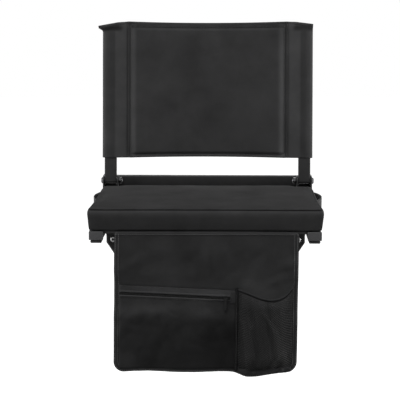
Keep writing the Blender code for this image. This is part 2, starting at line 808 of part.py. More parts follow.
def flap_depth(x, z):
    """Soft folds of the hanging flap, from nothing at the zip to their full depth at the hem."""
    share = smooth_step((FLAP_RIPPLE_FROM - z) / (FLAP_DROP + FLAP_RIPPLE_FROM))
    return FLAP_RIPPLE * share * math.sin(2 * math.pi * x / FLAP_RIPPLE_LENGTH)


def flap_bottom(x):
    return -FLAP_DROP - FLAP_SAG * math.exp(-(((x - FLAP_SAG_X) / FLAP_SAG_WIDTH) ** 2))


def flap_panel(parent):
    def surface(u, v):
        up = 1.0 - math.cos(v * math.pi / 2)
        share = 2.0 * u - 1.0
        z = blend(-FLAP_DROP, FLAP_TOP, up)
        corner = max(0.0, FLAP_CORNER - (z + FLAP_DROP))
        narrow = FLAP_CORNER - math.sqrt(FLAP_CORNER**2 - corner**2)
        x = share * (FLAP_HALF_X - narrow)
        z = blend(flap_bottom(x), FLAP_TOP, up)
        return (x, flap_depth(x, z), z)

    sheet("flap_panel", "flap_cloth", 24, 16, surface, FLAP_THICKNESS, parent)


def zip_height(x):
    share = (x - ZIP_LEFT[0]) / (ZIP_RIGHT[0] - ZIP_LEFT[0])
    return blend(ZIP_LEFT[1], ZIP_RIGHT[1], share)


def zip_slope():
    return math.atan2(ZIP_LEFT[1] - ZIP_RIGHT[1], ZIP_RIGHT[0] - ZIP_LEFT[0])


def zip_pocket_panel(parent):
    front = FLAP_THICKNESS / 2 + GAP + POCKET_THICKNESS / 2

    def surface(u, v):
        x = blend(POCKET_LEFT, POCKET_RIGHT, u)
        z = blend(POCKET_LOW, zip_height(x) - ZIP_BELOW - 2 * GAP, v)
        swell = (math.sin(u * math.pi) * math.sin(v * math.pi)) ** POCKET_FULLNESS
        return (x, flap_depth(x, z) - front - POCKET_BULGE * swell, z)

    sheet("zip_pocket_panel", "flap_cloth", 16, 7, surface, POCKET_THICKNESS, parent)


def zip_tape(parent):
    """Cloth tape above and below the coil, which stands out as a rib."""
    rib = ZIP_RIB
    outline = [
        (0.0, ZIP_ABOVE),
        (-ZIP_TAPE, ZIP_ABOVE),
        (-ZIP_TAPE, rib),
        (-rib, rib),
        (-rib, -rib),
        (-ZIP_TAPE, -rib),
        (-ZIP_TAPE, -ZIP_BELOW),
        (0.0, -ZIP_BELOW),
    ]
    middle_x = (ZIP_LEFT[0] + ZIP_RIGHT[0]) / 2
    length = (ZIP_RIGHT[0] - ZIP_LEFT[0]) / math.cos(zip_slope())
    centre = (middle_x, -FLAP_THICKNESS / 2 - GAP, zip_height(middle_x))
    tape = plate("zip_tape", "zip", [outline], length, (0.0, 0.0, 0.0), SIDEWAYS)
    tape.parent = add_empty("zip_line", centre, (0.0, zip_slope(), 0.0), parent)


def zip_slider_and_pull(parent):
    """The slider runs in front of the coil, and its pull has a rolled eye on the slider's bridge."""
    x = ZIP_RIGHT[0] - SLIDER_FROM_RIGHT
    rib_front = -FLAP_THICKNESS / 2 - GAP - ZIP_RIB - GAP
    path = add_empty("zip_path", (x, rib_front, zip_height(x)), (0.0, zip_slope(), 0.0), parent)
    width, depth, height = SLIDER_SIZE
    slider = box("zip_slider", "zip", SLIDER_SIZE, (0.0, -depth / 2, 0.0), path)
    reach = BRIDGE_REACH + depth / 2
    bridge_size = (width - 2 * GAP, reach, BRIDGE_HEIGHT)
    bridge = box("bridge", None, bridge_size, (0.0, -depth / 2 - reach / 2, 0.0), path)
    eye_depth = BRIDGE_REACH - BRIDGE_BAR
    eye_size = (width - 2 * BRIDGE_POST, eye_depth, 2 * height)
    eye = box("bridge_eye", None, eye_size, (0.0, -depth - eye_depth / 2, 0.0), path)
    combine(slider, bridge, "UNION")
    combine(slider, eye)

    bar_y = -depth - BRIDGE_REACH + BRIDGE_BAR / 2
    hinge_line = add_empty("pull_hinge", (0.0, bar_y, 0.0), (0.0, 0.0, 0.0), path)
    half = PULL_THICKNESS / 2
    neck = math.degrees(math.asin(half / PULL_KNUCKLE))
    outline = arc((0.0, 0.0), PULL_KNUCKLE, -90 + neck, 270 - neck, 16)
    outline += [(-half, -PULL_LENGTH), (half, -PULL_LENGTH)]
    hole = arc((0.0, 0.0), PULL_EYE, 0, 360 - 360 / PULL_EYE_STEPS, PULL_EYE_STEPS - 1)
    plate("zip_pull", "zip", [outline, hole], PULL_WIDTH, (0.0, 0.0, 0.0), SIDEWAYS, hinge_line)


def mesh_edge(u):
    """Height of the bottle pocket's mouth, which sags between its corners."""
    return MESH_TOP - MESH_TOP_SAG * math.sin(math.pi * u**MESH_TOP_LEAN) ** MESH_TOP_POWER


def mesh_pocket_point(u, z, low):
    """A point of the bottle pocket's wall: it stands out from the flap between its sewn sides."""
    front = FLAP_THICKNESS / 2 + GAP + BAND_THICKNESS / 2
    share = (z - low) / (mesh_edge(u) - low)
    fullness = smooth_step(share / MESH_FULL_FROM) * blend(MESH_DEPTH, MESH_MOUTH, smooth_step(share))
    x = blend(MESH_LEFT, MESH_RIGHT, u)
    y = flap_depth(x, z) - front - fullness * math.sin(math.pi * u) ** MESH_FULLNESS
    return (x, y, z)


def mesh_pocket(parent):
    def low_edge(u):
        x = blend(MESH_LEFT, MESH_RIGHT, u)
        return MESH_LOW + MESH_LOW_SAG * (flap_bottom(x) + FLAP_DROP)

    def net(u, v):
        top = mesh_edge(u) - BAND_HEIGHT - 2 * GAP
        return mesh_pocket_point(u, blend(low_edge(u), top, v), low_edge(u))

    def band(u, v):
        top = mesh_edge(u)
        return mesh_pocket_point(u, blend(top - BAND_HEIGHT, top, v), low_edge(u))

    sheet("mesh_pocket", "mesh_cloth", 14, 10, net, MESH_THICKNESS, parent)
    sheet("mesh_pocket_band", "webbing", 14, 1, band, BAND_THICKNESS, parent)


def handle_half():
    """Middle of the webbing and its width direction, from the tail behind the tube to the lowest point."""
    flat = Vector((1.0, 0.0, 0.0))
    side = []
    loop = [(HANDLE_LAYER, HANDLE_TAIL), (HANDLE_LAYER, HANDLE_PINCH)]
    loop += arc((0.0, 0.0), HANDLE_LOOP, -HANDLE_WRAP, 180 + HANDLE_WRAP, 10)
    loop += [(-HANDLE_LAYER, HANDLE_PINCH)]
    for y, z in loop:
        side.append((Vector((-HANDLE_HALF_X, y, z)), flat))
    steps = 12
    for step in range(steps + 1):
        share = step / steps
        x = -HANDLE_HALF_X * (1.0 - share)
        z = HANDLE_START - HANDLE_SAG * (1.0 - (1.0 - share) ** 2)
        y = -HANDLE_LAYER * (1.0 - share)
        slope = Vector((HANDLE_HALF_X, 0.0, -2.0 * HANDLE_SAG * (1.0 - share))).normalized()
        level = Vector((-slope.z, 0.0, slope.x))
        twist = smooth_step(share / HANDLE_TWIST_END) * math.pi / 2
        start = smooth_step(share / HANDLE_EASE)
        level = flat.lerp(level, start).normalized()
        across = level * math.cos(twist) + Vector((0.0, -1.0, 0.0)) * math.sin(twist)
        side.append((Vector((x, y, z)), across))
    return side


def carry_handle(parent):
    """Webbing looped round the front cross tube at both ends, riveted, and hanging between them."""
    half = handle_half()
    mirror = Vector((-1.0, 1.0, 1.0))
    route = list(half)
    for centre, across in reversed(half[:-1]):
        route.append((centre * mirror, across * mirror))

    def surface(u, v):
        centre, across = route[round(v * (len(route) - 1))]
        return centre + across * HANDLE_WIDTH * (u - 0.5)

    strap = sheet("carry_handle", "webbing", 1, len(route) - 1, surface, HANDLE_THICKNESS, parent)
    face = HANDLE_LAYER + HANDLE_THICKNESS / 2 + GAP
    profile = [
        (0.0, face + EYELET_HEAD),
        (EYELET_TOP, face + EYELET_HEAD),
        (EYELET_RADIUS, face),
        (RIVET_RADIUS, face),
        (RIVET_RADIUS, -face),
        (EYELET_RADIUS, -face),
        (EYELET_TOP, -face - EYELET_HEAD),
        (0.0, -face - EYELET_HEAD),
    ]
    for side, sign in SIDES:
        centre = (sign * HANDLE_HALF_X, 0.0, HANDLE_RIVET_Z)
        hole = rod(
            f"{side}_eyelet_hole", None, RIVET_HOLE, HANDLE_WIDTH, centre, ALONG_Y, parent, 12
        )
        combine(strap, hole)
        turned(f"{side}_handle_rivet", "zinc", profile, centre, ALONG_Y, parent, 12)


def bench_hook(side, sign):
    """Flat steel bent to a hook: flange under the hook rail, leg down the bench front, lip under it."""
    inner = HOOK_BEND - HOOK_THICKNESS
    bend_y = -HOOK_REACH + HOOK_BEND
    high = HOOK_TOP - HOOK_BEND
    low = HOOK_LIP_TOP - HOOK_THICKNESS + HOOK_BEND
    outline = [(HOOK_REACH, HOOK_TOP)]
    outline += arc((bend_y, high), HOOK_BEND, 90, 180, 4)
    outline += arc((bend_y, low), HOOK_BEND, 180, 270, 4)
    outline += [(HOOK_LIP, HOOK_LIP_TOP - HOOK_THICKNESS), (HOOK_LIP, HOOK_LIP_TOP)]
    outline += arc((bend_y, low), inner, 270, 180, 2)
    outline += arc((bend_y, high), inner, 180, 90, 2)
    outline += [(HOOK_REACH, HOOK_TOP - HOOK_THICKNESS)]
    axis = add_empty(f"{side}_hook_axis", (sign * HOOK_X, HOOK_Y, 0.0))
    hook = plate(
        f"{side}_hook", "coated_steel", [outline], HOOK_WIDTH, (0.0, 0.0, 0.0), SIDEWAYS, axis
    )
    rail_low = RAIL_LOW + RAIL_HEIGHT - HOOK_RAIL_SIZE[1]
    hole = rod(
        f"{side}_hook_hole",
        None,
        BOLT_HOLE,
        2 * RAIL_HEIGHT,
        (sign * HOOK_X, HOOK_Y, rail_low),
        (0.0, 0.0, 0.0),
    )
    combine(hook, hole)
    combine(bpy.data.objects["hook_rail"], hole)

    face = HOOK_TOP - HOOK_THICKNESS - GAP
    top = RAIL_LOW + RAIL_HEIGHT - GAP
    profile = [
        (0.0, top),
        (BOLT_RADIUS, top),
        (BOLT_RADIUS, face),
        (HOOK_HEAD_RADIUS, face),
        (HOOK_HEAD_RADIUS, face - HOOK_HEAD * (1.0 - HEAD_RIM)),
        (HOOK_HEAD_RADIUS * HEAD_FLAT, face - HOOK_HEAD),
        (0.0, face - HOOK_HEAD),
    ]
    turned(f"{side}_hook_bolt", "zinc", profile, (sign * HOOK_X, HOOK_Y, 0.0), (0.0, 0.0, 0.0))


def hook_rail():
    length = 2 * (RAIL_X - RAIL_WIDTH / 2 - GAP)
    depth, height = HOOK_RAIL_SIZE
    centre = (0.0, HOOK_Y, RAIL_LOW + RAIL_HEIGHT - height / 2)
    box("hook_rail", "coated_steel", (length, depth, height), centre)


def build_seat():
    seat_board()
    for side, sign in SIDES:
        side_rail(side, sign)
        rail_plug(f"{side}_front_plug", sign, RAIL_FRONT, -1)
        rail_plug(f"{side}_rear_plug", sign, RAIL_REAR, 1)
        rubber_foot(f"{side}_front_foot", sign, FOOT_FRONT_Y)
        rubber_foot(f"{side}_rear_foot", sign, FOOT_REAR_Y)
        for row, y in (("front", -SCREW_Y), ("rear", SCREW_Y)):
            board_screw(side, sign, row, y)
        hinge(side, sign)
        side_loop(side, sign)
    cross_tube("front_cross_tube", CROSS_FRONT_Y)
    cross_tube("rear_cross_tube", CROSS_REAR_Y)
    stop_bar()
    hook_rail()
    seat_foam()
    seat_cover()


def build_back():
    pivot = add_empty("back_hinge", (0.0, PIVOT_Y, PIVOT_Z), (-RECLINE, 0.0, 0.0))
    for side, sign in SIDES:
        upright(side, sign, pivot)
    back_front_panel(pivot)
    back_rear_panel(pivot)
    back_pad(pivot)


def build_flap():
    hinge_line = add_empty("flap_hinge", (0.0, FLAP_Y, FLAP_Z))
    flap_panel(hinge_line)
    zip_pocket_panel(hinge_line)
    zip_tape(hinge_line)
    zip_slider_and_pull(hinge_line)
    mesh_pocket(hinge_line)


build_seat()
build_back()
build_flap()
carry_handle(add_empty("handle_hinge", (0.0, CROSS_FRONT_Y, CROSS_Z)))
for hook_side, hook_sign in SIDES:
    bench_hook(hook_side, hook_sign)
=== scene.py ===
"""Looks of a folding stadium seat: coated steel frame, box cushion, sleeve back and hanging storage flap."""

import json
import math

import bmesh
import bpy
from mathutils import Matrix, Vector, noise


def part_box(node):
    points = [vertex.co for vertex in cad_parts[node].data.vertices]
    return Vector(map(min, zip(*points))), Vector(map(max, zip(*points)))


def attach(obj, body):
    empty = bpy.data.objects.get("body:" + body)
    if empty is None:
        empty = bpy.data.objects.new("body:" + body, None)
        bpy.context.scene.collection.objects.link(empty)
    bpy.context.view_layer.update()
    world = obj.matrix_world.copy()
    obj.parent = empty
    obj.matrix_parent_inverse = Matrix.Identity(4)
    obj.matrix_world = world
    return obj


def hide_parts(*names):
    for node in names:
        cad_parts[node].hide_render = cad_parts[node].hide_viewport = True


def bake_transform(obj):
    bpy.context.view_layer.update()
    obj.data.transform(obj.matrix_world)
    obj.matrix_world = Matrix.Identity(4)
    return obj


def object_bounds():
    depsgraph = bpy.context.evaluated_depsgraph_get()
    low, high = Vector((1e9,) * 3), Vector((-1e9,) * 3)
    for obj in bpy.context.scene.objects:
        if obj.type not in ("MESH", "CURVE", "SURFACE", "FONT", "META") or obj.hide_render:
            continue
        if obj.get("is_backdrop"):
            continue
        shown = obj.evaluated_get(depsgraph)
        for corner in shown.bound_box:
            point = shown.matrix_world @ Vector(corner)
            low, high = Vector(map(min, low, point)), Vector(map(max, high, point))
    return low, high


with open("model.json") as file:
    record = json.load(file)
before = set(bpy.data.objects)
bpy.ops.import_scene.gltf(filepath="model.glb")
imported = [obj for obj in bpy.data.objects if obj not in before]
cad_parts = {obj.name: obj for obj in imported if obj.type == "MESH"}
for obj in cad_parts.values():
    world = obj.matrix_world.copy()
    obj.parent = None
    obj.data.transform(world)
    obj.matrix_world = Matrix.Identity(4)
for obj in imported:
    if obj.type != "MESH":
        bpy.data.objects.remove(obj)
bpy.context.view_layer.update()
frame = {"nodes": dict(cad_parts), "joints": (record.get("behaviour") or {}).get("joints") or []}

# The room: a camera where the photo was taken, a pale floor well below the hanging flap, and soft lamps at
# both sides, above and behind. The background is white to the camera and reflections, not to other light.
CAMERA_PLACE = (0.031, -2.376, 0.4565)
CAMERA_TURN = (math.pi / 2 - math.radians(9.57), 0.0, math.radians(1.04))
CAMERA_LENS = 111.9
SENSOR_WIDTH = 36.0
WHITE = (1.0, 1.0, 1.0, 1.0)
AMBIENT = 0.12
LAMP_AIM = Vector((0.0, 0.0, 0.1))
LAMPS = (
    ("left_lamp", (-2.1, -0.20, 0.35), 1.0, 68.0),
    ("right_lamp", (2.1, -0.10, 0.35), 1.0, 66.0),
    ("top_lamp", (-0.2, -1.25, 2.1), 1.3, 48.0),
    ("rear_lamp", (0.4, 2.3, 1.4), 1.5, 26.0),
)
FLOOR_PLACE = (0.0, 0.0, -0.50)
FLOOR_RADIUS = 9.0
FLOOR_COLOUR = (0.45, 0.45, 0.45, 1.0)
FLOOR_FADE = (1.2, 4.0)
FLOOR_LIFT = (0.72, 1.0)


def shader_node(tree, kind, inputs=None, **settings):
    """A shader node with its settings, and its inputs set to a value or linked to a node or its output."""
    made = tree.nodes.new("ShaderNode" + kind)
    for name, value in settings.items():
        setattr(made, name, value)
    for name, value in (inputs or {}).items():
        if isinstance(value, bpy.types.Node):
            value = value.outputs[0]
        if isinstance(value, bpy.types.NodeSocket):
            tree.links.new(value, made.inputs[name])
        else:
            made.inputs[name].default_value = value
    return made


def maths(tree, operation, *values):
    """A maths node's output."""
    return shader_node(tree, "Math", dict(enumerate(values)), operation=operation).outputs[0]


def seen_directly(tree):
    """1 for rays from the camera, a mirror or glass, and 0 for light on its way to the object."""
    path = shader_node(tree, "LightPath").outputs
    mirror = maths(tree, "MAXIMUM", path["Is Camera Ray"], path["Is Glossy Ray"])
    return maths(tree, "MAXIMUM", mirror, path["Is Transmission Ray"])


def placed(name, data):
    """A new object in the scene."""
    made = bpy.data.objects.new(name, data)
    bpy.context.scene.collection.objects.link(made)
    return made


scene = bpy.context.scene
lens = bpy.data.cameras.new("camera")
lens.lens = CAMERA_LENS
lens.sensor_width = SENSOR_WIDTH
scene.camera = placed("camera", lens)
scene.camera.location = CAMERA_PLACE
scene.camera.rotation_euler = CAMERA_TURN
scene.view_settings.view_transform = "Standard"

scene.world = bpy.data.worlds.new("studio")
scene.world.use_nodes = True
sky = scene.world.node_tree
sky.nodes.clear()
soft = shader_node(sky, "Background", {"Color": WHITE, "Strength": AMBIENT})
white = shader_node(sky, "Background", {"Color": WHITE, "Strength": 1.0})
both = shader_node(sky, "MixShader", {0: seen_directly(sky), 1: soft, 2: white})
shader_node(sky, "OutputWorld", {"Surface": both})

for name, place, size, watts in LAMPS:
    light = bpy.data.lights.new(name, "AREA")
    light.size = size
    light.energy = watts
    lamp = placed(name, light)
    lamp.location = place
    lamp.rotation_euler = (LAMP_AIM - Vector(place)).to_track_quat("-Z", "Y").to_euler()

bpy.ops.mesh.primitive_circle_add(vertices=96, radius=FLOOR_RADIUS, fill_type="NGON", location=FLOOR_PLACE)
floor = bpy.context.object
floor.name = "floor"
paint = bpy.data.materials.new("floor_paint")
paint.use_nodes = True
tree = paint.node_tree
tree.nodes.clear()
matt = shader_node(tree, "BsdfDiffuse", {"Color": FLOOR_COLOUR})
place = shader_node(tree, "TexCoord").outputs["Object"]
away = shader_node(tree, "VectorMath", {0: place}, operation="LENGTH").outputs["Value"]
fade = shader_node(tree, "MapRange", dict(enumerate((away, *FLOOR_FADE, *FLOOR_LIFT))))
lift = maths(tree, "MULTIPLY", seen_directly(tree), fade.outputs[0])
glow = shader_node(tree, "Emission", {"Strength": lift})
total = shader_node(tree, "AddShader", {0: matt, 1: glow})
clear = shader_node(tree, "BsdfTransparent")
below = shader_node(tree, "NewGeometry").outputs["Backfacing"]
either = shader_node(tree, "MixShader", {0: below, 1: total, 2: clear})
shader_node(tree, "OutputMaterial", {"Surface": either})
floor.data.materials.append(paint)
floor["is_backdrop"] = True

# Frame under the seat: two flat steel tubes with rounded corners, two round cross tubes, the flat bar
# that carries the hooks and the bar behind the uprights, all welded and powder coated black.
COAT_DARK = (0.006, 0.006, 0.0062)
COAT_LIGHT = (0.012, 0.012, 0.0123)
TUBE_CORNER = 0.003
TUBE_SHORTEST = 0.2
BAR_CORNER = 0.0005
MERGE = 0.00001
SIDES = ("left", "right")
ROWS = ("front", "rear")


def effect(name, inputs, outputs):
    """A shader node group with numbers in and out: its tree, what it is given and what it returns."""
    made = bpy.data.node_groups.new(name, "ShaderNodeTree")
    for way, sockets in (("INPUT", inputs), ("OUTPUT", outputs)):
        for socket in sockets:
            made.interface.new_socket(socket, in_out=way, socket_type="NodeSocketFloat")
    return made, made.nodes.new("NodeGroupInput").outputs, made.nodes.new("NodeGroupOutput").inputs


uneven, given, result = effect("uneven_tone", ["Size"], ["Tone"])
cloud = shader_node(
    uneven,
    "TexNoise",
    {
        "Vector": shader_node(uneven, "TexCoord").outputs["Object"],
        "Scale": maths(uneven, "DIVIDE", 1.0, given["Size"]),
        "Detail": 3.0,
        "Roughness": 0.6,
    },
)
uneven.links.new(cloud.outputs[0], result["Tone"])


def tone_of(tree, size):
    """Soft cloudy unevenness of a given size."""
    return shader_node(tree, "Group", {"Size": size}, node_tree=uneven).outputs["Tone"]


def finish_of(name, roughness, metallic=0.0, specular=0.5, sheen=0.0):
    """A new material with its even values set on its shader."""
    made = bpy.data.materials.new(name)
    made.use_nodes = True
    shader = made.node_tree.nodes["Principled BSDF"]
    shader.inputs["Roughness"].default_value = roughness
    shader.inputs["Metallic"].default_value = metallic
    shader.inputs["Specular IOR Level"].default_value = specular
    shader.inputs["Sheen Weight"].default_value = sheen
    return made, made.node_tree, shader


def mixed_colour(tree, tone, dark, light):
    """A colour between two, by a tone from 0 to 1."""
    colours = {0: tone, 6: (*dark, 1.0), 7: (*light, 1.0)}
    return shader_node(tree, "Mix", colours, data_type="RGBA").outputs[2]


def roughness_between(tree, shader, tone, low, high):
    tree.links.new(maths(tree, "MULTIPLY_ADD", tone, high - low, low), shader.inputs["Roughness"])


def raise_by(tree, shader, height, distance):
    bump = shader_node(tree, "Bump", {"Height": height, "Distance": distance, "Strength": 1.0})
    tree.links.new(bump.outputs["Normal"], shader.inputs["Normal"])


def uneven_finish(name, even, colour, shine=None, grain=None):
    """A finish from its even values, its colour (patch size, dark, light), its roughness (patch size, low,
    high) and its grain (size, depth)."""
    made, tree, shader = finish_of(name, *even)
    tone = tone_of(tree, colour[0])
    tree.links.new(mixed_colour(tree, tone, *colour[1:]), shader.inputs["Base Color"])
    if shine:
        roughness_between(tree, shader, tone_of(tree, shine[0]), *shine[1:])
    if grain:
        raise_by(tree, shader, tone_of(tree, grain[0]), grain[1])
    return made


def only(piece):
    """Leaves one object selected and active."""
    bpy.ops.object.select_all(action="DESELECT")
    piece.select_set(True)
    bpy.context.view_layer.objects.active = piece


def apply_all(piece):
    only(piece)
    for modifier in list(piece.modifiers):
        bpy.ops.object.modifier_apply(modifier=modifier.name)


def edit_all(piece, *operators):
    """Runs mesh operators, each on the whole piece."""
    only(piece)
    bpy.ops.object.mode_set(mode="EDIT")
    for operator in operators:
        bpy.ops.mesh.select_all(action="SELECT")
        operator()
    bpy.ops.object.mode_set(mode="OBJECT")


def merge_points():
    bpy.ops.mesh.remove_doubles(threshold=MERGE)


def face_outwards():
    bpy.ops.mesh.normals_make_consistent(inside=False)


def merged_copy(node, name):
    """A copy of a solid with its triangles joined into whole faces, so that its edges can be rounded."""
    piece = placed(name, frame["nodes"][node].data.copy())
    piece.data.materials.clear()
    only(piece)
    bpy.ops.mesh.customdata_custom_splitnormals_clear()
    edit_all(piece, merge_points, lambda: bpy.ops.mesh.dissolve_limited(angle_limit=math.radians(1.0)))
    return piece


def round_edges(piece, radius, segments=2):
    bevel = piece.modifiers.new("edges", "BEVEL")
    bevel.width = radius
    bevel.segments = segments
    bevel.limit_method = "ANGLE"
    bevel.angle_limit = math.radians(38.0)
    apply_all(piece)


def smooth(piece, angle=38.0):
    only(piece)
    bpy.ops.object.shade_smooth_by_angle(angle=math.radians(angle))


def put_on(piece, body, slot, material, *nodes):
    """Gives a piece its finish, its body and the solids that it stands for."""
    piece.data.materials.clear()
    piece.data.materials.append(material)
    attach(piece, body)
    if nodes:
        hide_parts(*nodes)


def dressed(node, ending, body, slot, material, radius=0.0, segments=2):
    """A solid's copy with its edges rounded, in its finish and on its body."""
    piece = merged_copy(node, f"{node}_{ending}")
    if radius:
        round_edges(piece, radius, segments)
    smooth(piece)
    put_on(piece, body, slot, material, node)


def choose_edges(piece, wanted):
    """Selects, in edit mode, only the edges that a test picks out."""
    shape = bmesh.from_edit_mesh(piece.data)
    for edge in shape.edges:
        edge.select_set(wanted(edge))
    shape.select_flush_mode()
    bmesh.update_edit_mesh(piece.data)


def long_corner(edge):
    return edge.calc_length() > TUBE_SHORTEST and edge.calc_face_angle_signed(0.0) > 1.0


def long_tube(node, body):
    """A coated tube with the outer corners that run along it rounded."""
    piece = merged_copy(node, node + "_tube")
    only(piece)
    bpy.ops.object.mode_set(mode="EDIT")
    bpy.ops.mesh.select_mode(type="EDGE")
    choose_edges(piece, long_corner)
    bpy.ops.mesh.bevel(offset=TUBE_CORNER, segments=5)
    bpy.ops.object.mode_set(mode="OBJECT")
    smooth(piece)
    put_on(piece, body, "coated_steel", coat, node)


coat_colour = (0.012, COAT_DARK, COAT_LIGHT)
coat = uneven_finish("powder_coat", (0.42, 0.0, 0.2), coat_colour, (0.02, 0.34, 0.56), (0.0007, 0.00012))
for node in ("left_side_rail", "right_side_rail", "stop_bar"):
    long_tube(node, "seat")
for node in ("front_cross_tube", "rear_cross_tube"):
    dressed(node, "round", "seat", "coated_steel", coat)
dressed("hook_rail", "bar", "seat", "coated_steel", coat, BAR_CORNER)

# Plugs and feet: grey moulded plugs pressed into the rails' ends and the uprights' tops, and soft black
# rubber pads under the rails.
PLUG_COLOUR = (0.006, (0.0275, 0.0275, 0.0283), (0.043, 0.043, 0.0447))
RUBBER_COLOUR = (0.005, (0.010, 0.010, 0.010), (0.022, 0.022, 0.022))
PLUG_CORNER = 0.0009

plastic = uneven_finish("plug_plastic", (0.5, 0.0, 0.25), PLUG_COLOUR, (0.004, 0.42, 0.6), (0.0005, 0.00008))
rubber = uneven_finish("foot_rubber", (0.8, 0.0, 0.25), RUBBER_COLOUR, grain=(0.0008, 0.0001))
for side in SIDES:
    for row in ROWS:
        dressed(f"{side}_{row}_plug", "moulded", "seat", "plug_plastic", plastic, PLUG_CORNER, 3)
        dressed(f"{side}_{row}_foot", "moulded", "seat", "foot_rubber", rubber, PLUG_CORNER, 3)
    dressed(f"{side}_upright_cap", "moulded", "back", "plug_plastic", plastic, PLUG_CORNER, 3)

# Hinges of the back: pressed steel plates riveted to the rails, and a zinc-plated bolt, nut and sleeve on
# each side. Heads and rivets are turned.
ZINC_COLOURS = ((0.030, 0.030, 0.031), (0.095, 0.095, 0.098))
DARK_ZINC_COLOURS = ((0.012, 0.012, 0.012), (0.030, 0.030, 0.031))
PLATE_EDGE = 0.0004
NUT_EDGE = 0.0006
RIVET_SHANK = 0.0025
RIVET_HEAD = (0.005, 0.002)
BOLT_HEAD = (0.007, 0.0045)
BOLT_SOCKET = ((0.0, 0.0028), (0.0026, 0.0026), (0.0026, 0.0006))
BOLT_SHANK = ((0.004, 0.001), (0.003, 0.0), (0.0, 0.0))
ACROSS = Vector((1.0, 0.0, 0.0))
UP = Vector((0.0, 0.0, 1.0))


def plating_of(name, dark, light):
    return uneven_finish(name, (0.42, 1.0), (0.002, dark, light), (0.003, 0.34, 0.52), (0.0006, 0.00004))


def turned(name, profile, centre, axis, body, plating, *nodes):
    """A plated piece spun about an axis: (radius, height) from one end of the axis to the other."""
    mesh = bpy.data.meshes.new(name)
    lines = [(step, step + 1) for step in range(len(profile) - 1)]
    mesh.from_pydata([(radius, 0.0, height) for radius, height in profile], lines, [])
    piece = placed(name, mesh)
    edit_all(
        piece,
        lambda: bpy.ops.mesh.spin(steps=28, angle=2 * math.pi, center=(0.0, 0.0, 0.0), axis=UP),
        merge_points,
        face_outwards,
    )
    turn = UP.rotation_difference(Vector(axis)).to_matrix().to_4x4()
    piece.data.transform(Matrix.Translation(centre) @ turn)
    smooth(piece, 30.0)
    put_on(piece, body, "zinc", plating, *nodes)


def middle_of(node):
    low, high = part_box(node)
    return (low + high) / 2


def size_of(node):
    low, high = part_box(node)
    return high - low


def round_head(radius, height, base=0.0, count=5):
    """Half of a domed head's outline, from its top to its rim."""
    angles = [math.pi / 2 * step / count for step in range(count + 1)]
    return [(radius * math.sin(angle), base + height * math.cos(angle)) for angle in angles]


def both_ends(profile):
    """The outline of a piece that is the same at both ends, from one of its halves."""
    return profile + [(radius, -height) for radius, height in reversed(profile)]


zinc = plating_of("zinc_plate", *ZINC_COLOURS)
dark_zinc = plating_of("dark_zinc_plate", *DARK_ZINC_COLOURS)
for side, sign in zip(SIDES, (-1, 1)):
    for place in ("outer", "inner"):
        dressed(f"{side}_{place}_hinge_plate", "pressed", "seat", "coated_steel", coat, PLATE_EDGE)
    for row in ROWS:
        node = f"{side}_{row}_plate_rivet"
        rim = size_of(node).x / 2 - RIVET_HEAD[1]
        outline = both_ends(round_head(*RIVET_HEAD, rim) + [(RIVET_SHANK, rim)])
        turned(node + "_turned", outline, middle_of(node), ACROSS, "seat", zinc, node)
    node = f"{side}_hinge_bolt"
    length = size_of(node).x
    rim = length - BOLT_HEAD[1]
    outline = [(radius, length - depth) for radius, depth in BOLT_SOCKET]
    outline += [point for point in round_head(*BOLT_HEAD, rim) if point[0] > 0.003]
    outline += [(BOLT_SHANK[0][0], rim), *BOLT_SHANK]
    end = middle_of(node) - ACROSS * sign * length / 2
    turned(node + "_turned", outline, end, ACROSS * sign, "seat", zinc, node)
    for kind in ("nut", "sleeve"):
        dressed(f"{side}_hinge_{kind}", "turned", "seat", "zinc", dark_zinc, NUT_EDGE)

# Seat board: birch plywood under the cushion, held to the rails by four pan-head screws from below.
PLY_DARK = (0.33, 0.21, 0.11)
PLY_LIGHT = (0.50, 0.36, 0.22)
PLY_GRAIN = (6.0, 90.0, 700.0)
PLY_EDGE = 0.0005
SCREW_SHANK = 0.002
SCREW_HEAD = ((0.004, 0.0022), (0.004, 0.0012), (0.0032, 0.0002))
SCREW_RECESS = ((0.0016, 0.0), (0.0016, 0.0012), (0.0, 0.0014))

plywood, tree, shader = finish_of("birch_plywood", 0.62, 0.0, 0.3)
place = shader_node(tree, "TexCoord").outputs["Object"]
stretch = shader_node(tree, "Mapping", {"Vector": place, "Scale": PLY_GRAIN})
grain = shader_node(tree, "TexNoise", {"Vector": stretch, "Scale": 1.0, "Detail": 6.0, "Distortion": 0.8})
tree.links.new(mixed_colour(tree, grain, PLY_DARK, PLY_LIGHT), shader.inputs["Base Color"])
raise_by(tree, shader, grain, 0.0002)
dressed("seat_board", "plywood", "seat", "plywood", plywood, PLY_EDGE)
for side in SIDES:
    for row in ROWS:
        node = f"{side}_{row}_board_screw"
        length = size_of(node).z
        outline = [(0.0, length), (SCREW_SHANK, length - 0.002), (SCREW_SHANK, SCREW_HEAD[0][1])]
        outline += [*SCREW_HEAD, *SCREW_RECESS]
        turned(node + "_turned", outline, middle_of(node) - UP * length / 2, UP, "seat", zinc, node)

# Cushion: foam in a black woven polyester cover, sewn as a flat top and a boxing strip round the sides.
# The cover is drawn under the board, so the sides pull in between the corners and towards the bottom.
SEAT_DARK = (0.0178, 0.0178, 0.0180)
SEAT_LIGHT = (0.0322, 0.0322, 0.0326)
# How far the painted shade kept on each piece darkens the cloth's colour.
PAINTED_SHADE_SCALE = 0.72
CUSHION_COLUMNS = 70
CUSHION_ROWS = 50
BOXING_ROWS = 10
CUSHION_EASE = 0.36
CUSHION_DRAW = 0.003
CUSHION_CORNER = 0.0030
CUSHION_SIDE = 0.0030
CUSHION_ROLL = 0.006
CUSHION_CROWN = 0.0012
CUSHION_SWELL = 0.0014
CUSHION_PRESSURE = 4.0
FOLD_ROOM_X = 0.172
FOLD_ROOM_Y = 0.070
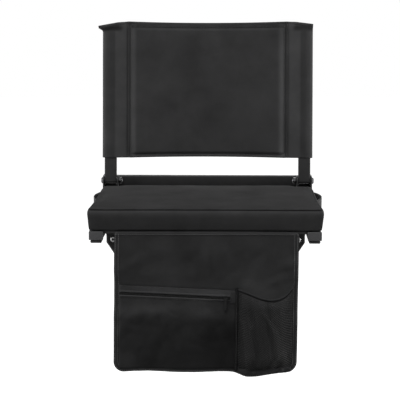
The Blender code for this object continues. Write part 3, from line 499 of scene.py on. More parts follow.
# The boxing's rows from the seam down: how far each leans in, drops, may swell, and its painted shade.
BOXING_LEANS = (0.0040, 0.0038, 0.0029, 0.0013, 0.0003, 0.0, 0.0004, 0.0009, 0.0013, 0.0017, 0.0023)
BOXING_DROPS = (0.0012, 0.0026, 0.0029, 0.0036, 0.0054, 0.0085, 0.0135, 0.0190, 0.0250, 0.0310, 0.0362)
BOXING_SLACK = (0.0, 0.0, 0.0, 0.1, 0.4, 0.8, 1.0, 1.0, 0.8, 0.4, 0.0)
# Painted shade in the seam, and below 0 a painted highlight on the roll under it.
BOXING_PAINTED_SHADE = (1.0, 0.9, 0.0, -0.5, -0.4, -0.1, 0.0, 0.0, 0.0, 0.0, 0.0)
FRONT_LIFT = 0.0024
# Painted shade on the top at the front.
FRONT_SHADE = 0.19
REAR_DROP = 0.0018
# Painted light on the top towards the rear.
REAR_PAINTED_LIGHT = 0.25
REAR_LIFT = 0.0020
REAR_LIFT_FROM = 0.105
SEAM_WAVE = 0.0006
PUCKER = 0.0013
BOARD_CLEAR = 0.0006

woven, given, result = effect("woven_cloth", ["Pitch"], ["Height", "Tone"])
place = shader_node(woven, "TexCoord").outputs
point = shader_node(woven, "SeparateXYZ", {0: place["Object"]}).outputs
facing = shader_node(woven, "SeparateXYZ", {0: place["Normal"]}).outputs
turns = maths(woven, "DIVIDE", 2 * math.pi, given["Pitch"])
threads = []
for axis in "XZ":
    end_on = maths(woven, "GREATER_THAN", maths(woven, "ABSOLUTE", facing[axis]), 0.7)
    run = shader_node(woven, "Mix", {0: end_on, 2: point[axis], 3: point["Y"]})
    threads.append(maths(woven, "SINE", maths(woven, "MULTIPLY", run.outputs[0], turns)))
weave = maths(woven, "MULTIPLY_ADD", maths(woven, "MULTIPLY", *threads), 0.5, 0.5)
cloud = maths(woven, "MULTIPLY_ADD", tone_of(woven, 0.07), 2.4, -0.7)
slub = tone_of(woven, 0.004)
yarn = maths(woven, "MULTIPLY_ADD", weave, 0.2, maths(woven, "MULTIPLY", slub, 0.2))
woven.links.new(maths(woven, "MULTIPLY_ADD", slub, 0.35, weave), result["Height"])
woven.links.new(maths(woven, "MULTIPLY_ADD", cloud, 0.6, yarn), result["Tone"])


def cloth_of(name, dark, light, pitch=0.0011, depth=0.00010, sheen=0.012):
    """Woven polyester: matt, with a faint sheen and a plain weave, its colour scaled by painted light and
    shade.
    """
    made, tree, shader = finish_of(name, 0.85, 0.0, 0.0, sheen)
    weave = shader_node(tree, "Group", {"Pitch": pitch}, node_tree=woven).outputs
    # Painted light and shade: the colour is scaled by 1 less the painted shade.
    sewn = shader_node(tree, "Attribute", attribute_name="seam").outputs["Fac"]
    painted_scale = maths(tree, "MULTIPLY_ADD", sewn, -PAINTED_SHADE_SCALE, 1.0)
    base = mixed_colour(tree, weave["Tone"], dark, light)
    shaded = shader_node(tree, "VectorMath", {0: base, "Scale": painted_scale}, operation="SCALE")
    tree.links.new(shaded.outputs["Vector"], shader.inputs["Base Color"])
    roughness_between(tree, shader, weave["Tone"], 0.74, 0.92)
    raise_by(tree, shader, weave["Height"], depth)
    return made


def paint_shade(piece, shades):
    """Keeps each point's painted shade for the cloth's colour, to 1; below 0 it is painted light."""
    seam = piece.data.attributes.new("seam", "FLOAT", "POINT")
    seam.data.foreach_set("value", shades)


def swell(piece, held, pressure, slack):
    """Blows a cloth out from inside and keeps the shape; held points stay, and none moves past its slack."""
    before = [vert.co.copy() for vert in piece.data.vertices]
    group = piece.vertex_groups.new(name="held")
    group.add(held, 1.0, "REPLACE")
    cloth = piece.modifiers.new("swell", "CLOTH")
    cloth.settings.vertex_group_mass = "held"
    cloth.settings.use_pressure = True
    cloth.settings.uniform_pressure_force = pressure
    cloth.settings.effector_weights.gravity = 0.0
    for step in range(1, 21):
        scene.frame_set(step)
    blown = piece.evaluated_get(bpy.context.evaluated_depsgraph_get()).to_mesh()
    after = [vert.co.copy() for vert in blown.vertices]
    piece.modifiers.remove(cloth)
    piece.vertex_groups.clear()
    scene.frame_set(1)
    for vert, start, end, most in zip(piece.data.vertices, before, after, slack):
        move = end - start
        vert.co = start + move * min(1.0, most / max(move.length, 1e-9))


def smooth_step(value):
    value = min(max(value, 0.0), 1.0)
    return value * value * (3.0 - 2.0 * value)


def blend(start, end, share):
    return start + (end - start) * share


def arch(share):
    """From 0 at both ends to 1 in the middle."""
    return max(0.0, math.sin(math.pi * share))


def ripple(a, b, c):
    return noise.noise(Vector((a, b, c)))


def under_upright(x, y):
    """From 0 to 1 where an upright of the folded back lies over the cushion."""
    return smooth_step((abs(x) - FOLD_ROOM_X) / 0.01) * smooth_step((y - FOLD_ROOM_Y) / 0.02)


def to_edge(a, b):
    """How far a place on the cushion is from its nearest edge."""
    return min((1.0 - abs(a)) * SEAT_HALF.x, (1.0 - abs(b)) * SEAT_HALF.y)


def boxing_row(c):
    return min(round(-c * BOXING_ROWS), BOXING_ROWS)


seat_low, seat_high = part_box("seat_cover")
board_low, board_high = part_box("seat_board")
SEAT_HALF = (seat_high - seat_low) / 2 + Vector((CUSHION_SIDE, 0.0, 0.0))
SEAT_TOP = 0.0610

bpy.ops.mesh.primitive_grid_add(x_subdivisions=CUSHION_COLUMNS, y_subdivisions=CUSHION_ROWS, size=2)
cushion = bpy.context.object
cushion.name = "seat_cushion"
bpy.ops.object.mode_set(mode="EDIT")
bpy.ops.mesh.select_mode(type="EDGE")
bpy.ops.mesh.select_all(action="DESELECT")
bpy.ops.mesh.select_non_manifold()
for row in range(BOXING_ROWS):
    bpy.ops.mesh.extrude_region_move(TRANSFORM_OT_translate={"value": (0.0, 0.0, -1.0 / BOXING_ROWS)})
bpy.ops.transform.edge_crease(value=0.7)
for row in range(2):
    bpy.ops.mesh.extrude_region_move(TRANSFORM_OT_translate={"value": (0.0, 0.0, -1.0)})
    bpy.ops.transform.edge_crease(value=1.0)
bpy.ops.mesh.fill_grid(span=CUSHION_COLUMNS)
bpy.ops.object.mode_set(mode="OBJECT")

cushion_places = []
for vert in cushion.data.vertices:
    a, b, c = vert.co
    a = (1.0 + CUSHION_EASE) * a - CUSHION_EASE * a**3
    b = (1.0 + CUSHION_EASE) * b - CUSHION_EASE * b**3
    cushion_places.append((a, b, c))
    if c < -1.5:
        height = board_low.z if c > -2.5 else board_high.z + BOARD_CLEAR
        vert.co = (a * (board_high.x + BOARD_CLEAR), b * (board_high.y + BOARD_CLEAR), height)
        continue
    y = b * SEAT_HALF.y
    row = boxing_row(c)
    rolled = max(0.0, 1.0 - to_edge(a, b) / CUSHION_ROLL)
    lean = BOXING_LEANS[row] + CUSHION_CORNER * abs(a * b) ** 14
    drop = BOXING_DROPS[row] * (1.0 if row else rolled**2.5)
    crown = 0.0 if row else CUSHION_CROWN * (1.0 - a**4) * (1.0 - b**4)
    if row < 4:
        rear = smooth_step((y - REAR_LIFT_FROM) / 0.03)
        crown += REAR_LIFT * rear * (1.0 - under_upright(a * SEAT_HALF.x, SEAT_HALF.y))
    if row < 5:
        crown += FRONT_LIFT * smooth_step((0.3 - b) / 1.1)
        crown -= REAR_DROP * smooth_step((y - FOLD_ROOM_Y) / 0.05) * rolled
    vert.co = (
        a * (SEAT_HALF.x - lean - CUSHION_DRAW * (1.0 - b * b)),
        b * (SEAT_HALF.y - lean - CUSHION_DRAW * (1.0 - a * a)),
        max(seat_low.z, SEAT_TOP + crown - drop),
    )

cushion_seam = [max(abs(a), abs(b)) > 0.999 and c > -0.01 for a, b, c in cushion_places]
held = [index for index, place in enumerate(cushion_places) if place[2] < -0.85 or cushion_seam[index]]
slack = []
for a, b, c in cushion_places:
    room = 1.0 - 0.8 * under_upright(a * SEAT_HALF.x, b * SEAT_HALF.y)
    row = boxing_row(c)
    give = BOXING_SLACK[row] if row else room * smooth_step((to_edge(a, b) - 0.003) / 0.012)
    slack.append(CUSHION_SWELL * give)
swell(cushion, held, CUSHION_PRESSURE, slack)

cushion_painted_shades = []
for vert, (a, b, c), sewn in zip(cushion.data.vertices, cushion_places, cushion_seam):
    x, y, z = vert.co
    if c > -0.01:
        gather = SEAM_WAVE * ripple(x * 40.0, y * 40.0, 3.0) * max(0.0, 1.0 - to_edge(a, b) / 0.04)
        vert.co.z = min(z + gather, seat_high.z)
    elif c > -1.01:
        gather = ripple(x * 30.0, y * 30.0, c * 1.2) + 0.5 * ripple(x * 90.0, y * 90.0, c * 1.6)
        fold = PUCKER * gather * math.sin(math.pi * -c)
        vert.co.x += math.copysign(fold * (abs(a) > 0.999), a)
        vert.co.y += math.copysign(fold * (abs(b) > 0.999), b)
    row = boxing_row(c)
    # Painted shade: by boxing row and in the seam, and on the top darker to the front and lighter to the
    # rear.
    cushion_painted_shades.append(BOXING_PAINTED_SHADE[row] if row or sewn else blend(FRONT_SHADE, -REAR_PAINTED_LIGHT, b / 2 + 0.5))
paint_shade(cushion, cushion_painted_shades)
finer = cushion.modifiers.new("finer", "SUBSURF")
finer.levels = 1
finer.render_levels = 1
apply_all(cushion)
smooth(cushion, 60.0)
seat_cloth = cloth_of("seat_cloth", SEAT_DARK, SEAT_LIGHT)
put_on(cushion, "seat", "seat_cloth", seat_cloth, "seat_foam", "seat_cover")

# Turned-under edge of the cushion's cover: it is drawn round the board and stapled to its underside.
TURNED_HALF = (0.2080, 0.1460)
TURNED_WIDTH = 0.028
TURNED_HEIGHT = 0.02214
TURNED_THICKNESS = 0.00022


def thicken(piece, thickness):
    solidify = piece.modifiers.new("cloth", "SOLIDIFY")
    solidify.thickness = thickness
    solidify.offset = 0.0
    apply_all(piece)


def cut_ring():
    bpy.ops.mesh.inset(thickness=TURNED_WIDTH)
    bpy.ops.mesh.delete(type="FACE")


bpy.ops.mesh.primitive_plane_add(size=2)
turned_under = bpy.context.object
turned_under.name = "cover_turned_under"
for vert in turned_under.data.vertices:
    vert.co = (vert.co.x * TURNED_HALF[0], vert.co.y * TURNED_HALF[1], TURNED_HEIGHT)
edit_all(turned_under, cut_ring, lambda: bpy.ops.mesh.subdivide(number_cuts=7))
thicken(turned_under, TURNED_THICKNESS)
put_on(turned_under, "seat", "seat_cloth", seat_cloth)

# Side loops: ribbed webbing sewn to the sides of the cushion at both ends and bowed out between them.
WEBBING_DARK = (0.010, 0.010, 0.010)
WEBBING_LIGHT = (0.024, 0.024, 0.024)
WEBBING_RIB = 0.0014
WEBBING_DEPTH = 0.00022
BLACK_THREAD = (0.0015, (0.025, 0.025, 0.025), (0.07, 0.07, 0.07))
LOOP_THICKNESS = 0.0018
LOOP_BOWS = (0.0145, 0.0175)
LOOP_SEWN = (0.012, 0.030, 0.970, 0.988)

ribbed, given, result = effect("ribbed_webbing", ["Length", "Width"], ["Height", "Tone"])
point = shader_node(ribbed, "SeparateXYZ", {0: shader_node(ribbed, "UVMap")}).outputs
rows = maths(ribbed, "MULTIPLY", point["Y"], given["Length"])
lines = maths(ribbed, "MULTIPLY", point["X"], given["Width"])
slanted = maths(ribbed, "ADD", rows, maths(ribbed, "PINGPONG", lines, 0.004))
wave = maths(ribbed, "SINE", maths(ribbed, "MULTIPLY", slanted, 2 * math.pi / WEBBING_RIB))
rib = maths(ribbed, "MULTIPLY_ADD", wave, 0.5, 0.5)
fuzz = tone_of(ribbed, 0.0012)
half_rib = maths(ribbed, "MULTIPLY", rib, 0.5)
ribbed.links.new(maths(ribbed, "MULTIPLY_ADD", fuzz, 0.4, rib), result["Height"])
ribbed.links.new(maths(ribbed, "MULTIPLY_ADD", fuzz, 0.5, half_rib), result["Tone"])


def webbing_of(name, length, width):
    made, tree, shader = finish_of(name, 0.8, 0.0, 0.1, 0.06)
    weave = shader_node(tree, "Group", {"Length": length, "Width": width}, node_tree=ribbed).outputs
    colour = mixed_colour(tree, weave["Tone"], WEBBING_DARK, WEBBING_LIGHT)
    tree.links.new(colour, shader.inputs["Base Color"])
    raise_by(tree, shader, weave["Height"], WEBBING_DEPTH)
    return made


def sheet_of(name, columns, rows, surface, thickness=0.0, shade=None):
    """A sheet on a grid: surface(u, v) gives its middle, u across and v along, each from 0 to 1.

    shade(u, v) gives the painted shade of each point."""
    bpy.ops.mesh.primitive_grid_add(x_subdivisions=columns, y_subdivisions=rows, size=1)
    piece = bpy.context.object
    piece.name = name
    places = [(vert.co.x + 0.5, vert.co.y + 0.5) for vert in piece.data.vertices]
    for vert, place in zip(piece.data.vertices, places):
        vert.co = surface(*place)
    if shade:
        paint_shade(piece, [shade(*place) for place in places])
    if thickness:
        thicken(piece, thickness)
    only(piece)
    bpy.ops.object.shade_smooth()
    return piece


def steps(start, end, count):
    """Numbers an even step apart, both ends included."""
    return [blend(start, end, number / count) for number in range(count + 1)]


def length_of(points):
    return sum((end - start).length for start, end in zip(points, points[1:]))


def resample(points, step):
    """Points an even step apart along a line of points."""
    length = length_of(points)
    count = max(1, round(length / step))
    spaced = [points[0]]
    travelled = 0.0
    for start, end in zip(points, points[1:]):
        span = (end - start).length
        while len(spaced) < count and travelled + span >= length * len(spaced) / count:
            spaced.append(start.lerp(end, (length * len(spaced) / count - travelled) / span))
        travelled += span
    return spaced + [points[-1]]


def repeated(name, pattern, places):
    """One mesh of copies of a small pattern. A place is a centre and what the pattern's axes become there."""
    corners = [vert.co.copy() for vert in pattern.data.vertices]
    sides = [tuple(face.vertices) for face in pattern.data.polygons]
    bpy.data.objects.remove(pattern, do_unlink=True)
    points = []
    faces = []
    for centre, across, deep, along in places:
        first = len(points)
        points += [centre + along * c.z + across * c.x + deep * c.y for c in corners]
        faces += [tuple(first + corner for corner in side) for side in sides]
    mesh = bpy.data.meshes.new(name)
    mesh.from_pydata(points, [], faces)
    return placed(name, mesh)


def stitches(name, body, slot, material, rows, pitch=0.0032, thread=0.0006):
    """Rows of sewing thread. A row is the points that it follows on the cloth, and the way that faces out."""
    places = []
    for line, out in rows:
        spaced = resample(line, pitch)
        for start, end in zip(spaced, spaced[1:]):
            along = (end - start) * 0.86
            sideways = along.cross(out).normalized() * thread
            places.append(((start + end) / 2, sideways, out.normalized() * thread, along))
    bpy.ops.mesh.primitive_uv_sphere_add(segments=6, ring_count=4, radius=0.5)
    piece = repeated(name, bpy.context.object, places)
    edit_all(piece, face_outwards)
    bpy.ops.object.shade_smooth()
    put_on(piece, body, slot, material)
    return piece


black_thread = uneven_finish("thread_black", (0.6, 0.0, 0.3), BLACK_THREAD)
for side, sign, bow in zip(SIDES, (-1, 1), LOOP_BOWS):
    node = f"{side}_side_loop"
    low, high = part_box(node)
    inner = low.x if sign > 0 else -high.x
    out = Vector((sign, 0.0, 0.0))

    def loop_surface(u, v):
        away = inner + LOOP_THICKNESS / 2 + bow * arch(v) ** 0.7
        return (sign * away, blend(low.y, high.y, v), blend(low.z, high.z, u if sign < 0 else 1.0 - u))

    loop = sheet_of(f"{node}_webbing", 8, 64, loop_surface, LOOP_THICKNESS)
    length = high.y - low.y
    width = high.z - low.z
    put_on(loop, "seat", "webbing", webbing_of(f"{side}_loop_webbing", length, width), node)
    loop_rows = []
    for end in LOOP_SEWN:
        ladder = [Vector(loop_surface(u, end)) + out * LOOP_THICKNESS / 2 for u in steps(0.1, 0.9, 10)]
        loop_rows.append((ladder, out))
    loop_stitches = stitches(f"{side}_loop_stitches", "seat", "webbing", black_thread, loop_rows)

# Uprights: flat steel tubes with rounded corners, coated like the frame, that turn on the hinge bolts.
for side in SIDES:
    long_tube(f"{side}_upright", "back")

# Back sleeve: a woven polyester sleeve that slips down over both uprights, with a foam pad sewn in between
# its front and rear between double seams. Its top is sewn shut, and the left top corner stands out.
RECLINE = math.radians(9.0)
UPRIGHT_X = 0.200
SLEEVE_LOW = 0.0472
SLEEVE_HIGH = 0.3283
SLEEVE_THICKNESS = 0.0009
SLEEVE_DEPTH = 0.0092
SLEEVE_SIDE = 0.2164
SLEEVE_TURN = 0.0065
SLEEVE_ROUND = 0.0012
SLEEVE_MEET = 0.1863
SLEEVE_FLAT = 0.0016
SLEEVE_FRONT = 0.0034
SLEEVE_SEAM = 0.164
SLEEVE_INNER_SEAM = 0.1585
SLEEVE_REAR_SEAM = 0.1605
SLEEVE_FLAT_FROM = 0.306
SLEEVE_BOW = 0.0025
SLEEVE_DIP = 0.003
SLEEVE_SOFT = 0.0016
SLEEVE_STEP = 0.0034
SLEEVE_FINE_STEP = 0.0013
SLEEVE_TUBE_STEP = 0.0022
SLEEVE_FINE_FROM = 0.1440
SLEEVE_FINE_ENDS = 0.009
SLEEVE_PRESSURE = 3.0
# Left and right: how far a top corner stands out and drops, and how far it leans forward.
EARS = ((0.0057, 0.0076), (0.0, 0.0044))
FLARES = (0.0155, 0.0110)
FLARE_HEIGHT = 0.018
# Painted shade under the fold of each top corner: its height, its width and how dark it is.
EAR_FOLD = 0.3140
EAR_FOLD_WIDTH = 0.0075
EAR_SHADE = 0.25
PAD_HALF = 0.1575
PAD_EDGE = 0.0105
PAD_END_EDGE = 0.0065
PAD_LOW = 0.0530
PAD_HIGH = 0.3177
PAD_BULGE = 0.0050
PAD_SWELL = 0.0014
PAD_WAVE = 0.0020
PAD_REAR_BULGE = 0.002
PAD_REAR_WAVE = 0.0006
PAD_SKIN = 0.0006
SEWN_DIP = 0.0009
SEWN_WIDTH = 0.0022
# How painted light and shade change the colour in the side, bottom and top seams.
SEAM_SHADES = (-0.65, -0.95, 0.63)
# Painted highlights on the pad's sides, the bands beside the uprights, the outer edges and the top (left,
# right).
RIDGE_HIGHLIGHT = (0.38, 0.82)
RIDGE_FADE = 0.010
SLEEVE_BAND_HIGHLIGHT = 0.60
SIDE_HIGHLIGHT = (0.62, 0.80)
SIDE_WIDTHS = (0.012, 0.018)
TOP_HIGHLIGHT = 0.38
TOP_HIGHLIGHT_WIDTH = 0.0045
# Painted light on the sleeve's top and bottom hems.
TOP_HEM_PAINTED_LIGHT = 0.3
LOW_HEM_PAINTED_LIGHT = 0.95
END_HEM_HALF = 0.0031
END_HEM_OUT = 0.0005
STITCH_LIFT = 0.0006
FOAM_COLOUR = (0.001, (0.30, 0.29, 0.26), (0.55, 0.53, 0.47))


def joint_place(name):
    return Vector(next(joint["pos_m"] for joint in frame["joints"] if joint["name"] == name))


def back_point(x, depth, height):
    """A point of the back: across, behind and up along the leaning uprights from the hinge."""
    y = PIVOT.y + depth * math.cos(RECLINE) + height * math.sin(RECLINE)
    return Vector((x, y, PIVOT.z - depth * math.sin(RECLINE) + height * math.cos(RECLINE)))


def corner(centre, radius, start, end, count=5):
    """Points round a corner, angles in degrees."""
    angles = [math.radians(angle) for angle in steps(start, end, count)]
    return [(centre[0] + radius * math.cos(angle), centre[1] + radius * math.sin(angle)) for angle in angles]


def sleeve_section():
    """The front cloth's section, from the left rear seam round both uprights to the right rear seam."""
    turn = (SLEEVE_SIDE - SLEEVE_TURN, SLEEVE_DEPTH - SLEEVE_TURN)
    pad = [(0.0, -SLEEVE_FRONT), (SLEEVE_FINE_FROM, -SLEEVE_FRONT)]
    sewn = [pad[-1], (SLEEVE_SEAM, -SLEEVE_FRONT), (SLEEVE_SEAM + 0.003, -SLEEVE_FRONT - 0.001)]
    round_tube = [sewn[-1], (SLEEVE_MEET, -SLEEVE_DEPTH + SLEEVE_ROUND / 2)]
    round_tube += [(blend(SLEEVE_MEET, turn[0], 0.3), -SLEEVE_DEPTH - SLEEVE_ROUND / 2)]
    round_tube += [(blend(SLEEVE_MEET, turn[0], 0.65), -SLEEVE_DEPTH - SLEEVE_ROUND)]
    round_tube += corner((turn[0], -turn[1]), SLEEVE_TURN, 270, 360)
    round_tube += corner(turn, SLEEVE_TURN, 0, 90)
    round_tube += [(SLEEVE_MEET, SLEEVE_DEPTH), (SLEEVE_SEAM + 0.002, SLEEVE_FLAT)]
    round_tube += [(SLEEVE_REAR_SEAM, SLEEVE_FLAT)]
    right = []
    for run, step in ((pad, SLEEVE_STEP), (sewn, SLEEVE_FINE_STEP), (round_tube, SLEEVE_TUBE_STEP)):
        right += resample([Vector(point) for point in run], step)[1 if right else 0 :]
    return [Vector((-point.x, point.y)) for point in reversed(right[1:])] + right


def pad_swell(x, height):
    """From 0 at the pad's sewn edge, up a round edge, to 1 over its middle."""
    across = min(max(0.0, PAD_HALF - abs(x)) / PAD_EDGE, 1.0)
    along = min(max(0.0, min(height - PAD_LOW, PAD_HIGH - height)) / PAD_END_EDGE, 1.0)
    return math.sin(math.pi / 2 * max(0.0, 1.0 - math.hypot(1.0 - across, 1.0 - along)))


def sleeve_shift(x, height):
    """The lower edge bows up in the middle, and the upper edge dips."""
    share = (height - SLEEVE_LOW) / (SLEEVE_HIGH - SLEEVE_LOW)
    inside = max(0.0, 1.0 - (x / SLEEVE_SEAM) ** 2)
    return inside * (SLEEVE_BOW * (1.0 - share) - SLEEVE_DIP * share**4)


def sewn_in(x, height):
    """From 0 to 1 in the double seams beside the pad, and in the seams along its bottom and its top."""
    places = ((abs(x), SLEEVE_INNER_SEAM), (abs(x), SLEEVE_SEAM), (height, PAD_LOW), (height, PAD_HIGH))
    inner, outer, low, high = (max(0.0, 1.0 - abs(place - seam) / SEWN_WIDTH) for place, seam in places)
    inside = abs(x) < SLEEVE_INNER_SEAM
    return max(inner, outer), low * inside, high * inside


def painted_highlight(x, height):
    """Painted highlight over the pad's sides and top, between seam and upright, and outside."""
    side = SIDE_WIDTHS[x > 0]
    over_pad = smooth_step((abs(x) - PAD_HALF + PAD_EDGE) / RIDGE_FADE + 0.5)
    over_pad *= smooth_step((PAD_HALF - abs(x)) / 0.002)
    between = smooth_step((abs(x) - SLEEVE_SEAM - 0.002) / 0.003)
    between *= smooth_step((SLEEVE_MEET + 0.0065 - abs(x)) / 0.004)
    off_top = abs(PAD_HIGH - TOP_HIGHLIGHT_WIDTH - height) / TOP_HIGHLIGHT_WIDTH
    return max(
        RIDGE_HIGHLIGHT[x > 0] * over_pad,
        SLEEVE_BAND_HIGHLIGHT * between,
        SIDE_HIGHLIGHT[x > 0] * smooth_step((abs(x) - SLEEVE_SIDE + side) / side),
        TOP_HIGHLIGHT * (abs(x) < PAD_HALF) * smooth_step(1.0 - off_top),
    )


def sleeve_front(x, depth, height):
    """A point of the front cloth from its place in the section and its height."""
    flat = smooth_step((height - SLEEVE_FLAT_FROM) / (SLEEVE_HIGH - SLEEVE_FLAT_FROM))
    beyond = max(0.0, (abs(x) - SLEEVE_SEAM) / (UPRIGHT_X - SLEEVE_SEAM))
    soft = SLEEVE_SOFT * max(0.0, ripple(x * 14.0, height * 10.0, 1.0 + depth * 30.0))
    soft *= smooth_step((abs(x) - SLEEVE_SEAM) / 0.01) * (1.0 - flat)
    y = blend(depth, math.copysign(SLEEVE_FLAT, depth), flat) + math.copysign(soft, depth)
    if depth < 0:
        y -= (PAD_BULGE + PAD_WAVE * ripple(x * 13.0, height * 16.0, 5.0)) * pad_swell(x, height)
        y += SEWN_DIP * max(sewn_in(x, height))
    rise = smooth_step((height - SLEEVE_HIGH + FLARE_HEIGHT) / FLARE_HEIGHT)
    y -= FLARES[x > 0] * rise * smooth_step(beyond * 1.8)
    out, down = (ear * flat * beyond for ear in EARS[x > 0])
    return back_point(x + math.copysign(out, x), y, height + sleeve_shift(x, height) - down)


PIVOT = joint_place("back_fold")
BACK_OUT = back_point(0.0, -1.0, 0.0) - back_point(0.0, 0.0, 0.0)
BACK_UP = back_point(0.0, 0.0, 1.0) - back_point(0.0, 0.0, 0.0)
section = sleeve_section()
sleeve_heights = []
for start, end, step in (
    (SLEEVE_LOW, PAD_LOW + SLEEVE_FINE_ENDS, SLEEVE_FINE_STEP),
    (PAD_LOW + SLEEVE_FINE_ENDS, PAD_HIGH - SLEEVE_FINE_ENDS, SLEEVE_STEP),
    (PAD_HIGH - SLEEVE_FINE_ENDS, SLEEVE_HIGH, SLEEVE_FINE_STEP),
):
    sleeve_heights += steps(start, end, round((end - start) / step))[:-1]
sleeve_heights.append(SLEEVE_HIGH)


def sleeve_place(u, v):
    """Where a point of the front cloth's grid lies: across, in depth and up."""
    return (*section[round(u * (len(section) - 1))], sleeve_heights[round(v * (len(sleeve_heights) - 1))])


# Painted light and shade of the front cloth: in its seams, highlights over pad and bands, shade under the
# ears.
def sleeve_shade(u, v):
    x, depth, height = sleeve_place(u, v)
    if depth >= 0:
        return 0.0
    seam = sum(shade * sewn for shade, sewn in zip(SEAM_SHADES, sewn_in(x, height))) - painted_highlight(x, height)
    under_ear = smooth_step((abs(x) - SLEEVE_SEAM - 0.008) / 0.01)
    under_ear *= smooth_step(1.6 - 1.6 * abs(height - EAR_FOLD) / EAR_FOLD_WIDTH)
    return blend(seam, EAR_SHADE, under_ear)


sleeve = sheet_of(
    "back_sleeve_front",
    len(section) - 1,
    len(sleeve_heights) - 1,
    lambda u, v: sleeve_front(*sleeve_place(u, v)),
    shade=sleeve_shade,
)
held = []
for vert in sleeve.data.vertices:
    x, depth = section[vert.index % len(section)]
    if depth > 0 or pad_swell(x, sleeve_heights[vert.index // len(section)]) < 0.2:
        held.append(vert.index)
swell(sleeve, held, SLEEVE_PRESSURE, [PAD_SWELL] * len(sleeve.data.vertices))
thicken(sleeve, SLEEVE_THICKNESS)
put_on(sleeve, "back", "seat_cloth", seat_cloth, "back_front_panel")


def rear_surface(u, v):
    x = blend(-SLEEVE_REAR_SEAM, SLEEVE_REAR_SEAM, u)
    height = blend(SLEEVE_LOW, SLEEVE_HIGH, v)
    full = PAD_REAR_BULGE + PAD_REAR_WAVE * ripple(x * 16.0, height * 12.0, 8.0)
    depth = SLEEVE_FLAT + SLEEVE_THICKNESS + full * pad_swell(x, height)
    return back_point(x, depth, height + sleeve_shift(x, height))


rear = sheet_of("back_sleeve_rear", 80, 66, rear_surface, SLEEVE_THICKNESS)
put_on(rear, "back", "seat_cloth", seat_cloth, "back_rear_panel")

bpy.ops.mesh.primitive_cube_add(size=2)
pad = bpy.context.object
pad.name = "back_foam_pad"
edit_all(pad, lambda: bpy.ops.mesh.subdivide(number_cuts=15))
pad_middle = (PAD_LOW + PAD_HIGH) / 2
for vert in pad.data.vertices:
    x = 0.97 * PAD_HALF * math.sin(vert.co.x * math.pi / 2)
    height = pad_middle + 0.97 * (PAD_HIGH - pad_middle) * math.sin(vert.co.z * math.pi / 2)
    fill = 0.8 * pad_swell(x, height)
    depth = blend(-PAD_SKIN - fill * PAD_BULGE, PAD_SKIN + fill * PAD_REAR_BULGE, (vert.co.y + 1) / 2)
    vert.co = back_point(x, depth, height + sleeve_shift(x, height))
smooth(pad, 60.0)
foam = uneven_finish("grey_foam", (0.95, 0.0, 0.1), FOAM_COLOUR, grain=(0.0012, 0.0006))
put_on(pad, "back", "foam", foam, "back_pad")


def tube_of(name, columns, rows, surface):
    """A closed skin round a path: surface(u, v) with u once round the section and v along the path."""
    piece = sheet_of(name, columns, rows, surface)
    edit_all(piece, merge_points, lambda: bpy.ops.mesh.fill_holes(sides=0), face_outwards)
    smooth(piece, 50.0)
    return piece


def end_hem(name, half, height, centre, light):
    """The bound edge that closes the sleeve's front and rear at the top or the bottom."""

    def surface(u, v):
        x = blend(-half, half, v)
        middle = (sleeve_front(x, -SLEEVE_FRONT, height) + sleeve_front(x, SLEEVE_FLAT, height)) / 2
        angle = 2 * math.pi * u
        out = BACK_OUT * END_HEM_HALF * math.cos(angle)
        return middle + out + BACK_UP * (centre + END_HEM_HALF * math.sin(angle))

    hem = tube_of(name, 10, 110, surface)
    # The hem's colour is lightened by painted light.
    paint_shade(hem, [-light] * len(hem.data.vertices))
    put_on(hem, "back", "seat_cloth", seat_cloth)
    return hem


def on_sleeve(x, height, front):
    """A point just off the front or rear cloth."""
    if front:
        return sleeve_front(x, -SLEEVE_FRONT, height) + BACK_OUT * STITCH_LIFT
    return back_point(x, SLEEVE_FLAT + SLEEVE_THICKNESS + STITCH_LIFT, height + sleeve_shift(x, height))


hem_centre = END_HEM_HALF - END_HEM_OUT
top_hem = end_hem("back_top_hem", SLEEVE_SIDE - 0.0005, SLEEVE_HIGH, -hem_centre, TOP_HEM_PAINTED_LIGHT)
low_hem = end_hem("back_low_hem", SLEEVE_REAR_SEAM, SLEEVE_LOW, hem_centre, LOW_HEM_PAINTED_LIGHT)
seam_rows = []
for sign in (-1, 1):
    for seam, front in ((SLEEVE_INNER_SEAM, True), (SLEEVE_SEAM, True), (PAD_HALF, False)):
        heights = steps(SLEEVE_LOW + 0.002, SLEEVE_HIGH - 0.002, 30)
        line = [on_sleeve(sign * seam, height, front) for height in heights]
        seam_rows.append((line, BACK_OUT if front else -BACK_OUT))
for height in (SLEEVE_LOW + 0.0040, SLEEVE_HIGH - 0.0095):
    for front in (True, False):
        line = [on_sleeve(x, height, front) for x in steps(-SLEEVE_INNER_SEAM, SLEEVE_INNER_SEAM, 60)]
        seam_rows.append((line, BACK_OUT if front else -BACK_OUT))
back_stitches = stitches("back_stitches", "back", "seat_cloth", black_thread, seam_rows)
length_of(section)

# Storage flap: thin black polyester that hangs from the front of the seat, with bound edges sewn twice.
# It folds softly towards its hem, which sags under the bottle pocket.
FLAP_DARK = (0.016, 0.016, 0.016)
FLAP_LIGHT = (0.030, 0.030, 0.0305)
BINDING_LIGHT = (0.032, 0.032, 0.033)
